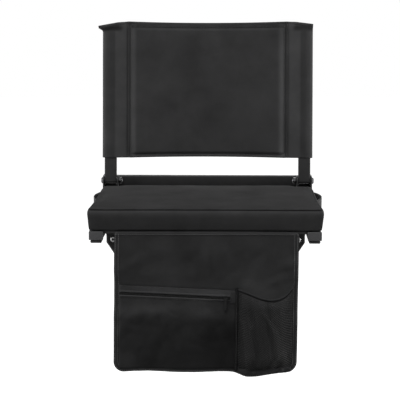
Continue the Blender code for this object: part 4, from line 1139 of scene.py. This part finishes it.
# Black thread painted grey: a painted highlight of its sheen.
HIGHLIT_THREAD = (0.0015, (0.05, 0.05, 0.05), (0.12, 0.12, 0.12))
FLAP_HINGE = joint_place("flap_swing")
FLAP_HALF = 0.169
FLAP_TOP = -0.0015
FLAP_DROP = 0.2605
FLAP_THICKNESS = 0.0012
FLAP_CORNER = 0.019
FLAP_SAG = 0.0095
FLAP_SAG_PLACE = 0.080
FLAP_SAG_WIDTHS = (0.019, 0.040)
FLAP_ASIDE = 0.0026
FLAP_DRAWN = 0.0012
FLAP_FOLD = 0.003
FLAP_FOLD_LENGTH = 0.150
FLAP_FOLD_FROM = -0.130
FLAP_CREASE = 0.0085
FLAP_TUGS = (
    (-0.128, -0.052, 29, 0.034, 0.011, 0.0042),
    (0.007, -0.040, -75, 0.034, 0.011, 0.0045),
    (0.155, -0.056, 20, 0.014, 0.009, 0.0042),
    (0.128, -0.092, 24, 0.022, 0.009, 0.0052),
)
BINDING_WIDTH = 0.0095
BINDING_HALF = 0.0016
BINDING_THINS = 0.5
BINDING_SEWN = (0.0016, BINDING_WIDTH - 0.0024)
TOP_HEM_LOW = -0.0044
TOP_HEM_HIGH = 0.0004
TOP_HEM_LIFT = 0.0007
TOP_HEM_FULL = 0.0006
TOP_HEM_THICKNESS = 0.0004
# Painted highlight on the flap's top hem.
TOP_HEM_HIGHLIGHT = 0.45
# Painted light on the flap's lower part and above the bottle pocket's mouth.
FLAP_PAINTED_LIGHT = 0.35
MOUTH_PAINTED_LIGHT = 0.80
FRONT = Vector((0.0, -1.0, 0.0))
ZIP_LEFT = (-0.160, -0.1135)
ZIP_RIGHT = (0.046, -0.1225)

flap_cloth = cloth_of("flap_cloth", FLAP_DARK, FLAP_LIGHT)
binding_cloth = cloth_of("binding_cloth", FLAP_DARK, BINDING_LIGHT, 0.0009, 0.00012, 0.02)


def zip_height(x):
    return blend(ZIP_LEFT[1], ZIP_RIGHT[1], (x - ZIP_LEFT[0]) / (ZIP_RIGHT[0] - ZIP_LEFT[0]))


def bell(off, width):
    """1 at a place, and falling to 0 on both sides of it."""
    return math.exp(-((off / width) ** 2))


def tugged(x, z, tugs):
    """Lift of soft folds, each given by its place, its angle in degrees, its length, width and height."""
    lift = 0.0
    for middle_x, middle_z, angle, length, width, height in tugs:
        turn = math.radians(angle)
        along = (x - middle_x) * math.cos(turn) + (z - middle_z) * math.sin(turn)
        across = (z - middle_z) * math.cos(turn) - (x - middle_x) * math.sin(turn)
        lift += height * bell(along, length) * bell(across, width)
    return lift


def flap_depth(x, z):
    """How far behind its plane the hanging cloth lies: soft folds below the zip, and creases above."""
    share = smooth_step((FLAP_FOLD_FROM - z) / (FLAP_DROP + FLAP_FOLD_FROM))
    fold = FLAP_FOLD * share * math.sin(2 * math.pi * x / FLAP_FOLD_LENGTH)
    off_zip = smooth_step((abs(z - zip_height(x)) - 0.016) / 0.03) * smooth_step(-z / 0.04)
    crease = 0.5 + 0.5 * ripple(x * 13.0 + z * 9.0, z * 17.0 - x * 4.0, 4.0)
    crease += 0.3 * abs(ripple(x * 26.0 - z * 14.0, z * 22.0, 9.0))
    return fold - off_zip * (FLAP_CREASE * max(0.0, crease) + tugged(x, z, FLAP_TUGS))


def flap_bottom(x):
    off = x - FLAP_SAG_PLACE
    return -FLAP_DROP - FLAP_SAG * bell(off, FLAP_SAG_WIDTHS[off > 0])


def on_flap(x, z, lift=0.0):
    """A point in front of the flap's middle by a lift. The top hangs a little to one side."""
    aside = (FLAP_ASIDE - FLAP_DRAWN * x / FLAP_HALF) * max(0.0, 1.0 + z / FLAP_DROP)
    return FLAP_HINGE + Vector((x + aside, flap_depth(x, z) - lift, z))


def flap_surface(u, v):
    up = 1.0 - math.cos(v * math.pi / 2)
    turn = max(0.0, FLAP_CORNER - blend(-FLAP_DROP, FLAP_TOP, up) - FLAP_DROP)
    narrow = FLAP_CORNER - math.sqrt(max(0.0, FLAP_CORNER**2 - turn**2))
    x = (2.0 * u - 1.0) * (FLAP_HALF - narrow)
    return on_flap(x, blend(flap_bottom(x), FLAP_TOP, up))


def flap_shade(u, v):
    """Painted light, below 0: lighter towards the pockets, most above the bottle pocket's mouth."""
    x, y, z = flap_surface(u, v) - FLAP_HINGE
    painted_light = FLAP_PAINTED_LIGHT * smooth_step((-0.035 - z) / 0.06)
    painted_light += MOUTH_PAINTED_LIGHT * smooth_step((-0.080 - z) / 0.02) * smooth_step((x - 0.055) / 0.02)
    return -painted_light * smooth_step((z + 0.145) / 0.01)


flap = sheet_of("flap_cloth_panel", 90, 80, flap_surface, FLAP_THICKNESS, flap_shade)
put_on(flap, "flap", "flap_cloth", flap_cloth, "flap_panel")


def flap_edge():
    """The flap's edge from top left round the bottom to top right: points and the ways to its inside."""
    edge = [(-FLAP_HALF, z, 1.0, 0.0) for z in steps(FLAP_TOP, FLAP_CORNER - FLAP_DROP, 60)[:-1]]
    for angle in steps(0.0, math.pi / 2, 12)[:-1]:
        x = -FLAP_HALF + FLAP_CORNER * (1.0 - math.cos(angle))
        z = -FLAP_DROP + FLAP_CORNER * (1.0 - math.sin(angle))
        edge.append((x, z, math.cos(angle), math.sin(angle)))
    other = [(-x, z, -inward, up) for x, z, inward, up in reversed(edge)]
    flat = FLAP_HALF - FLAP_CORNER
    return edge + [(x, flap_bottom(x), 0.0, 1.0) for x in steps(-flat, flat, 100)] + other


edge_points = flap_edge()


def binding_surface(u, v):
    x, z, inward, up = edge_points[round(v * (len(edge_points) - 1))]
    angle = 2 * math.pi * u
    wide = BINDING_WIDTH / 2 * math.copysign(abs(math.cos(angle)) ** 0.35, math.cos(angle))
    thick = BINDING_HALF * math.copysign(abs(math.sin(angle)) ** 0.6, math.sin(angle))
    thick *= 1.0 - BINDING_THINS * (0.5 + wide / BINDING_WIDTH)
    reach = BINDING_WIDTH / 2 - 0.0008 + wide
    return on_flap(x + inward * reach, z + up * reach, thick)


def top_hem_surface(u, v):
    x = blend(-FLAP_HALF + 0.0015, FLAP_HALF - 0.0015, u)
    lift = TOP_HEM_LIFT + TOP_HEM_FULL * math.sin(v * math.pi)
    return on_flap(x, blend(TOP_HEM_LOW, TOP_HEM_HIGH, v), lift)


binding = tube_of("flap_binding", 16, len(edge_points) - 1, binding_surface)
put_on(binding, "flap", "flap_cloth", binding_cloth)
flap_rows = []
for inset in BINDING_SEWN:
    for lift, out in ((BINDING_HALF, FRONT), (-BINDING_HALF, -FRONT)):
        line = [on_flap(x + inward * inset, z + up * inset, lift) for x, z, inward, up in edge_points]
        flap_rows.append((line, out))
flap_rows.append(([top_hem_surface(u, 0.3) + FRONT * 0.0004 for u in steps(0.0, 1.0, 60)], FRONT))
# The flap's top hem has a painted highlight that grows towards its top.
flap_hem = sheet_of(
    "flap_top_hem", 70, 6, top_hem_surface, TOP_HEM_THICKNESS, lambda u, v: -TOP_HEM_HIGHLIGHT * v
)
put_on(flap_hem, "flap", "flap_cloth", binding_cloth)
# The flap's edge stitches: black thread with a painted highlight.
highlit_thread = uneven_finish("thread_highlit", (0.6, 0.0, 0.2), HIGHLIT_THREAD)
flap_stitches = stitches("flap_edge_stitches", "flap", "flap_cloth", highlit_thread, flap_rows, 0.0036, 0.0007)

# Top roll of the flap: the cloth turns back under the cushion and is fixed to the front of the hook rail.
RAIL_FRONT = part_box("hook_rail")[0].y
ROLL_REACH = RAIL_FRONT - 0.0004 - FLAP_HINGE.y
ROLL_RISE = 0.0024


def roll_surface(u, v):
    x = on_flap(blend(-FLAP_HALF + 0.001, FLAP_HALF - 0.001, u), 0.0).x
    angle = math.pi / 2 * v
    y = FLAP_HINGE.y + ROLL_REACH * (1.0 - math.cos(angle))
    return Vector((x, y, FLAP_HINGE.z + FLAP_TOP + ROLL_RISE * math.sin(angle)))


roll = sheet_of("flap_top_roll", 60, 8, roll_surface, FLAP_THICKNESS)
roll.data.materials.append(flap_cloth)
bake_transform(roll)

# Zip pocket: a second layer of the flap's cloth, sewn on three sides, slightly full. Above it lies a facing
# with a nylon coil zip, which ends at a sewn tab.
POCKET_LEFT = -0.160
POCKET_RIGHT = 0.0555
POCKET_WIDTH = POCKET_RIGHT - POCKET_LEFT
POCKET_LOW = -0.2550
POCKET_THICKNESS = 0.0009
POCKET_BULGE = 0.0040
POCKET_CREASE = 0.0056
# Painted shade over the pocket, painted light under the zip, and more painted shade to its right.
POCKET_SHADE = 0.44
POCKET_PAINTED_LIGHT = 0.12
POCKET_LEE_SHADE = 0.12
POCKET_TUGS = (
    (-0.087, -0.1450, 3, 0.055, 0.010, 0.0060),
    (0.017, -0.1520, 8, 0.022, 0.010, 0.0050),
    (-0.144, -0.1760, -20, 0.022, 0.007, 0.0050),
    (-0.136, -0.2250, 30, 0.022, 0.014, 0.0045),
    (-0.070, -0.2350, 25, 0.040, 0.012, 0.0035),
    (0.023, -0.1610, -46, 0.020, 0.007, 0.0045),
)
EDGE_FOLD = 0.0019
# Painted highlight on folded edges, painted light on the facing, and painted shade along its top seam.
EDGE_HIGHLIGHT = 0.6
FACING_PAINTED_LIGHT = (0.25, 0.85)
FACING_SEAM_SHADE = 0.3
ZIP_COLOUR = (0.001, (0.006, 0.006, 0.006), (0.014, 0.014, 0.014))
ZIP_ABOVE = 0.017
ZIP_BELOW = 0.006
ZIP_LENGTH = ZIP_RIGHT[0] - ZIP_LEFT[0]
COIL_HALF = 0.0021
TOOTH_PITCH = 0.0016
TOOTH = (0.0009, 0.0018, 0.0024)
TOOTH_APART = 0.0014
TAB_SIZE = (0.0105, 0.021)
TAB_LOW = -0.0085
TAB_FULL = 0.0009
SEWN_LIFT = 0.0016


def pocket_up(v):
    """The share of the pocket's height that a row of its grid reaches; rows are closer near the zip."""
    return 1.0 - (1.0 - v) ** 1.6


def pocket_surface(u, v):
    x = blend(POCKET_LEFT, POCKET_RIGHT, u)
    up = pocket_up(v)
    z = blend(POCKET_LOW, zip_height(x) - COIL_HALF - 0.0004, up)
    full = (arch(u) * arch(up)) ** 0.6
    fold = EDGE_FOLD * bell((1.0 - up) * 0.132 - 0.0016, 0.0016)
    crease = ripple(x * 22.0 - z * 13.0, z * 24.0, 11.0)
    crease += 0.6 * abs(ripple(x * 36.0 + z * 20.0, z * 40.0, 2.0))
    full *= POCKET_BULGE + POCKET_CREASE * crease + tugged(x, z, POCKET_TUGS)
    return on_flap(x, z, SEWN_LIFT + fold + full)


def pocket_shade(u, v):
    """Painted light and shade: pale under the zip and in the lower left corner, and dark below its fold."""
    up = pocket_up(v)
    under_zip = smooth_step((up - 0.62) / 0.2) * (1.0 - 0.6 * smooth_step((u - 0.7) / 0.15))
    in_corner = 0.6 * smooth_step((0.22 - u) / 0.12) * smooth_step((0.3 - up) / 0.15)
    pale = max(under_zip, in_corner)
    lee_shade = POCKET_LEE_SHADE * smooth_step((u - 0.5) / 0.4) * (1.0 - pale)
    return blend(POCKET_SHADE, -POCKET_PAINTED_LIGHT, pale) + lee_shade - EDGE_HIGHLIGHT * (v > 0.94)


def facing_surface(u, v):
    x = blend(POCKET_LEFT, POCKET_RIGHT, u)
    rise = blend(COIL_HALF + 0.0006, ZIP_ABOVE, v)
    full = 0.0005 * math.sin(v * math.pi) + EDGE_FOLD * bell(v - 0.11, 0.10)
    full += 0.0006 * smooth_step((v - 0.8) / 0.2)
    return on_flap(x, zip_height(x) + rise, SEWN_LIFT - 0.0002 + full)


# Painted light on the facing, a painted highlight on its folded lower edge, and painted shade along its top.
def facing_shade(u, v):
    painted_light = blend(*FACING_PAINTED_LIGHT, smooth_step(u / 0.45))
    return FACING_SEAM_SHADE if v > 0.9 else -max(painted_light, EDGE_HIGHLIGHT * (v < 0.2))


def zip_bed_surface(u, v):
    x = blend(ZIP_LEFT[0], ZIP_RIGHT[0], u)
    return on_flap(x, zip_height(x) + blend(-ZIP_BELOW, ZIP_BELOW, v), 0.0010)


def tab_surface(u, v):
    x = blend(ZIP_RIGHT[0] - 0.001, POCKET_RIGHT + 0.0005, u)
    full = TAB_FULL * (arch(u) * arch(v)) ** 0.5
    return on_flap(x, zip_height(x) + TAB_LOW + TAB_SIZE[1] * v, SEWN_LIFT + 0.0014 + full)


pocket = sheet_of("zip_pocket_cloth", 90, 60, pocket_surface, POCKET_THICKNESS, pocket_shade)
put_on(pocket, "flap", "flap_cloth", flap_cloth, "zip_pocket_panel")
facing = sheet_of("zip_facing", 80, 18, facing_surface, POCKET_THICKNESS, facing_shade)
put_on(facing, "flap", "flap_cloth", binding_cloth)

zip_nylon = uneven_finish("zip_nylon", (0.55, 0.0, 0.1), ZIP_COLOUR)
teeth = []
for count in range(round(ZIP_LENGTH / TOOTH_PITCH)):
    for upper in (0, 1):
        x = ZIP_LEFT[0] + (count + 0.5 * upper) * TOOTH_PITCH
        centre = on_flap(x, zip_height(x) + (0.5 - upper) * TOOTH_APART, 0.0021)
        teeth.append((centre, *Matrix.Diagonal(TOOTH)))
bpy.ops.mesh.primitive_cube_add(size=1)
tooth = bpy.context.object
round_edges(tooth, 0.28)
coil = repeated("zip_coil", tooth, teeth)
smooth(coil, 50.0)
put_on(coil, "flap", "zip_coil", zip_nylon, "zip_tape")
bed = sheet_of("zip_tape_cloth", 60, 4, zip_bed_surface, 0.0006)
put_on(bed, "flap", "zip_coil", binding_cloth)
tab = sheet_of("zip_end_tab", 12, 16, tab_surface, 0.0010)
put_on(tab, "flap", "flap_cloth", binding_cloth)

sewn_x = steps(POCKET_LEFT, ZIP_RIGHT[0] - 0.002, 40)
zip_rows = []
for rise in (ZIP_ABOVE - 0.0022, COIL_HALF + 0.0030):
    zip_rows.append(([on_flap(x, zip_height(x) + rise, SEWN_LIFT + 0.0010) for x in sewn_x], FRONT))
low_row = [pocket_surface((x - POCKET_LEFT) / POCKET_WIDTH, 0.90) + FRONT * 0.0006 for x in sewn_x]
zip_rows.append((low_row, FRONT))
stitches("zip_stitches", "flap", "flap_cloth", black_thread, zip_rows, 0.0026, 0.0005)

# Zip slider and pull: small black castings. The pull hangs from the slider's bridge.
ZIP_METAL_COLOUR = (0.003, (0.005, 0.005, 0.005), (0.012, 0.012, 0.0122))
CAST_EDGE = 0.0004

zip_metal = uneven_finish("zip_metal", (0.45, 0.0, 0.08), ZIP_METAL_COLOUR, (0.002, 0.3, 0.5))
for node in ("zip_slider", "zip_pull"):
    dressed(node, "cast", node, "zip_metal", zip_metal, CAST_EDGE)

# Bottle pocket: knitted mesh, gathered at the bottom and held to the flap at its sides, with an elastic
# band along its sagging mouth and a bound seam beside the zip pocket.
MESH_DARK = (0.014, 0.014, 0.014)
MESH_LIGHT = (0.036, 0.036, 0.036)
MESH_LEFT = 0.0585
MESH_RIGHT = 0.1600
MESH_LOW = -0.2570
MESH_TOP = -0.1040
MESH_TOP_SAG = 0.0170
MESH_TOP_RISE = 0.0040
MESH_DEPTH = 0.021
MESH_MOUTH = 0.014
MESH_PITCH = 0.0053
MESH_FOLD = 0.0040
MESH_GATHER = 0.0050
MESH_YARN = 0.0012
# Painted shade in the net's hollows and at its sides, and a painted highlight on its ridge.
NET_HOLLOW_SHADE = 0.40
NET_RIDGE_HIGHLIGHT = 0.35
BAND_HEIGHT = 0.0048
BAND_THICKNESS = 0.0013
# Painted shade on the band's lower part, and a painted highlight on its top.
BAND_SHADE = 0.9
BAND_TOP_HIGHLIGHT = 0.15
HEM_CRUMPLE = 0.0045
HEM_THICKNESS = 0.0012
DIVIDER_LEFT = 0.0545
DIVIDER_RIGHT = 0.0600
DIVIDER_LOW = -0.2600
DIVIDER_SEWN = 0.0572
# Painted shade over the whole divider.
DIVIDER_SHADE = 0.85


def mesh_x(u):
    return blend(MESH_LEFT, MESH_RIGHT, u)


def mesh_edge(u):
    return MESH_TOP - MESH_TOP_SAG * arch(u**1.5) ** 0.85 + MESH_TOP_RISE * smooth_step((u - 0.85) / 0.15)


def mesh_low(u):
    return MESH_LOW + 0.8 * (flap_bottom(mesh_x(u)) + FLAP_DROP)


def mesh_point(u, z):
    """A point of the pocket's wall, which stands out from the flap, with folds that gather at the bottom."""
    low = mesh_low(u)
    share = (z - low) / (mesh_edge(u) - low)
    full = smooth_step(share / 0.3) * blend(MESH_DEPTH, MESH_MOUTH, smooth_step(share))
    across = arch(u) ** 0.7
    wave = ripple(u * 8.0 + share * 1.5, share * 1.2, 6.0)
    gather = math.sin(u * 30.0 + 3.0 * ripple(u * 5.0, share * 3.0, 2.0))
    ridge = bell(u - blend(0.74, 0.44, smooth_step((share - 0.4) / 0.6)), 0.035)
    folds = MESH_FOLD * (wave + ridge * smooth_step(share * 2.0 - 0.4))
    folds *= 1.0 - 0.8 * smooth_step((share - 0.8) / 0.2)
    folds = folds * smooth_step(share * 4.0) + MESH_GATHER * gather * (1.0 - smooth_step(share / 0.3))
    return on_flap(mesh_x(u), z, 0.0019 + full * across + folds * min(1.0, 4.0 * across * share + 0.1))


def net_shade(u, share):
    """Painted shade above 0 at the sides, in the hollow and low on the left; painted highlight below 0 on the
    ridge.
    """
    sides = bell(u, 0.06) + bell(1.0 - u, 0.04)
    hollow = bell(u - blend(0.45, 0.57, share), 0.10)
    low_left = (1.0 - share) * (1.0 - smooth_step((u - 0.4) / 0.2))
    return NET_HOLLOW_SHADE * (sides + hollow + low_left) - NET_RIDGE_HIGHLIGHT * share * bell(u - 0.82, 0.07)


def band_surface(u, v):
    edge = mesh_edge(u)
    return mesh_point(u, blend(edge - BAND_HEIGHT, edge, v)) + FRONT * 0.0006 * math.sin(v * math.pi)


def divider_surface(u, v):
    z = blend(DIVIDER_LOW, MESH_TOP + 0.0010, v)
    lift = SEWN_LIFT + 0.0016 + 0.0008 * math.sin(u * math.pi)
    return on_flap(blend(DIVIDER_LEFT, DIVIDER_RIGHT, u), z, lift)


def mesh_hem_surface(u, v):
    u = blend(0.02, 0.98, u)
    crumple = ripple(u * 14.0, v * 2.0, 3.0) * math.sin(v * math.pi)
    z = mesh_low(u) + blend(-0.002, 0.008, v) + HEM_CRUMPLE * ripple(u * 9.0, v, 7.0) * v
    lift = 0.0026 + 0.0012 * math.sin(v * math.pi) + HEM_CRUMPLE * max(0.0, crumple)
    return on_flap(mesh_x(u), z, lift)


def straight_inside(edge):
    """True for the grid's own lines inside its border, which the diamond mesh doesn't have."""
    step = edge.verts[0].co - edge.verts[1].co
    return min(abs(step.x), abs(step.y)) < 0.0001 and not edge.is_boundary


mesh_black, tree, shader = finish_of("mesh_yarn", 0.7, 0.0, 0.1, 0.05)
# The yarn's colour is darkened by its painted shade.
shaded = shader_node(tree, "Attribute", attribute_name="seam").outputs["Fac"]
mesh_tone = maths(tree, "SUBTRACT", tone_of(tree, 0.002), shaded)
tree.links.new(mixed_colour(tree, mesh_tone, MESH_DARK, MESH_LIGHT), shader.inputs["Base Color"])

net_columns = round((MESH_RIGHT - MESH_LEFT) / MESH_PITCH) + 2
net_rows = round((MESH_TOP - MESH_LOW) / MESH_PITCH) + 3
bpy.ops.mesh.primitive_grid_add(x_subdivisions=net_columns, y_subdivisions=net_rows, size=1)
net = bpy.context.object
net.name = "bottle_pocket_net"
bpy.ops.object.mode_set(mode="EDIT")
bpy.ops.mesh.select_mode(type="EDGE")
bpy.ops.mesh.select_all(action="SELECT")
bpy.ops.mesh.poke()
choose_edges(net, straight_inside)
bpy.ops.mesh.dissolve_edges(use_verts=False)
bpy.ops.object.mode_set(mode="OBJECT")
paint_shade(net, [net_shade(vert.co.x + 0.5, vert.co.y + 0.5) for vert in net.data.vertices])
for vert in net.data.vertices:
    u = vert.co.x + 0.5
    vert.co = mesh_point(u, blend(mesh_low(u), mesh_edge(u) - BAND_HEIGHT + 0.001, vert.co.y + 0.5))
wires = net.modifiers.new("yarn", "WIREFRAME")
wires.thickness = MESH_YARN
wires.use_even_offset = False
apply_all(net)
smooth(net, 60.0)
put_on(net, "flap", "mesh_cloth", mesh_black, "mesh_pocket")

# The band: painted shade on its lower part, a painted highlight on its top.
band = sheet_of(
    "bottle_pocket_band",
    70,
    8,
    band_surface,
    BAND_THICKNESS,
    lambda u, v: BAND_SHADE if v < 0.7 else -BAND_TOP_HIGHLIGHT,
)
put_on(band, "flap", "webbing", binding_cloth, "mesh_pocket_band")
# The divider is darkened all over by painted shade.
divider = sheet_of("pocket_divider", 6, 60, divider_surface, HEM_THICKNESS, lambda u, v: DIVIDER_SHADE)
put_on(divider, "flap", "flap_cloth", binding_cloth)
hem = sheet_of("bottle_pocket_hem", 70, 10, mesh_hem_surface, HEM_THICKNESS)
put_on(hem, "flap", "flap_cloth", binding_cloth)
line = [on_flap(DIVIDER_SEWN, z, SEWN_LIFT + 0.0029) for z in steps(DIVIDER_LOW + 0.002, MESH_TOP, 40)]
divider_stitches = stitches(
    "divider_stitches", "flap", "flap_cloth", black_thread, [(line, FRONT)], 0.0028, 0.0005
)

# Carry handle: webbing looped round the front cross tube at both ends, closed by an eyelet rivet, and
# hanging behind the flap in a loop that turns on edge for the hand.
NICKEL_COLOURS = ((0.22, 0.22, 0.22), (0.38, 0.38, 0.375))
HANDLE_AXIS = joint_place("handle_swing")
HANDLE_HALF = 0.173
HANDLE_WIDTH = 0.025
HANDLE_THICKNESS = 0.0018
HANDLE_LOOP = 0.0075
HANDLE_LAYER = 0.0014
HANDLE_PINCH = -0.0105
HANDLE_TAIL = -0.0215
HANDLE_SAG = 0.118
HANDLE_STEPS = 40
EYELET_FACE = ((0.0, 0.0008), (0.0020, 0.0008), (0.0026, 0.0), (0.0042, 0.0))
EYELET_RIM = ((0.0050, 0.0008), (0.0050, 0.0010), (0.0025, 0.0010))
EYELET_HOLE = 0.0019
BACKWARDS = Vector((0.0, 1.0, 0.0))


def handle_half():
    """Middle of the webbing and its width direction, from the tail behind the tube to the lowest point."""
    route = [(HANDLE_LAYER, HANDLE_TAIL), (HANDLE_LAYER, HANDLE_PINCH)]
    route += corner((0.0, 0.0), HANDLE_LOOP, -18, 198, 20) + [(-HANDLE_LAYER, HANDLE_PINCH)]
    half = [(Vector((-HANDLE_HALF, y, z)), ACROSS) for y, z in route]
    for share in steps(0.0, 1.0, HANDLE_STEPS):
        rest = 1.0 - share
        slope = Vector((HANDLE_HALF, 0.0, -2.0 * HANDLE_SAG * rest)).normalized()
        level = ACROSS.lerp(Vector((-slope.z, 0.0, slope.x)), smooth_step(share / 0.15)).normalized()
        twist = smooth_step(share / 0.5) * math.pi / 2
        z = HANDLE_TAIL - HANDLE_SAG * (1.0 - rest**2)
        across = level * math.cos(twist) + FRONT * math.sin(twist)
        half.append((Vector((-HANDLE_HALF * rest, -HANDLE_LAYER * rest, z)), across))
    return half


strap_half = handle_half()
mirror = Vector((-1.0, 1.0, 1.0))
other_half = [(middle * mirror, across * mirror) for middle, across in reversed(strap_half[:-1])]
strap_route = strap_half + other_half


def strap_surface(u, v):
    middle, across = strap_route[round(v * (len(strap_route) - 1))]
    return HANDLE_AXIS + middle + across * HANDLE_WIDTH * (u - 0.5)


strap = sheet_of("carry_handle_webbing", 6, len(strap_route) - 1, strap_surface, HANDLE_THICKNESS)
strap_length = length_of([middle for middle, across in strap_route])
put_on(strap, "handle", "webbing", webbing_of("handle_webbing", strap_length, HANDLE_WIDTH), "carry_handle")
nickel = plating_of("nickel_plate", *NICKEL_COLOURS)
for side in SIDES:
    node = f"{side}_handle_rivet"
    half = size_of(node).y / 2
    ring = both_ends([(radius, half - depth) for radius, depth in EYELET_FACE + EYELET_RIM])
    turned(node + "_turned", ring, middle_of(node), BACKWARDS, "handle", nickel, node)
    # A dark disc in each eyelet's middle: painted shade of its hole.
    hole_shade = both_ends([(0.0, half - 0.0006), (EYELET_HOLE, half - 0.0006)])
    turned(node + "_core", hole_shade, middle_of(node), BACKWARDS, "handle", dark_zinc)

# Bench hooks: flat steel bent to a hook, coated, each on a plain bolt under the hook rail.
HOOK_HEAD = (0.0065, 0.0043)
HOOK_SHANK = 0.004

for side in SIDES:
    dressed(f"{side}_hook", "bent", f"{side}_hook", "coated_steel", coat, BAR_CORNER)
    node = f"{side}_hook_bolt"
    length = size_of(node).z
    outline = [(0.0, length), (0.0036, length), (HOOK_SHANK, length - 0.0004), (HOOK_SHANK, HOOK_HEAD[1])]
    outline += [(radius, HOOK_HEAD[1] - up) for radius, up in reversed(round_head(*HOOK_HEAD))]
    turned(node + "_turned", outline, middle_of(node) - UP * length / 2, UP, "seat", zinc, node)

low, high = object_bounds()
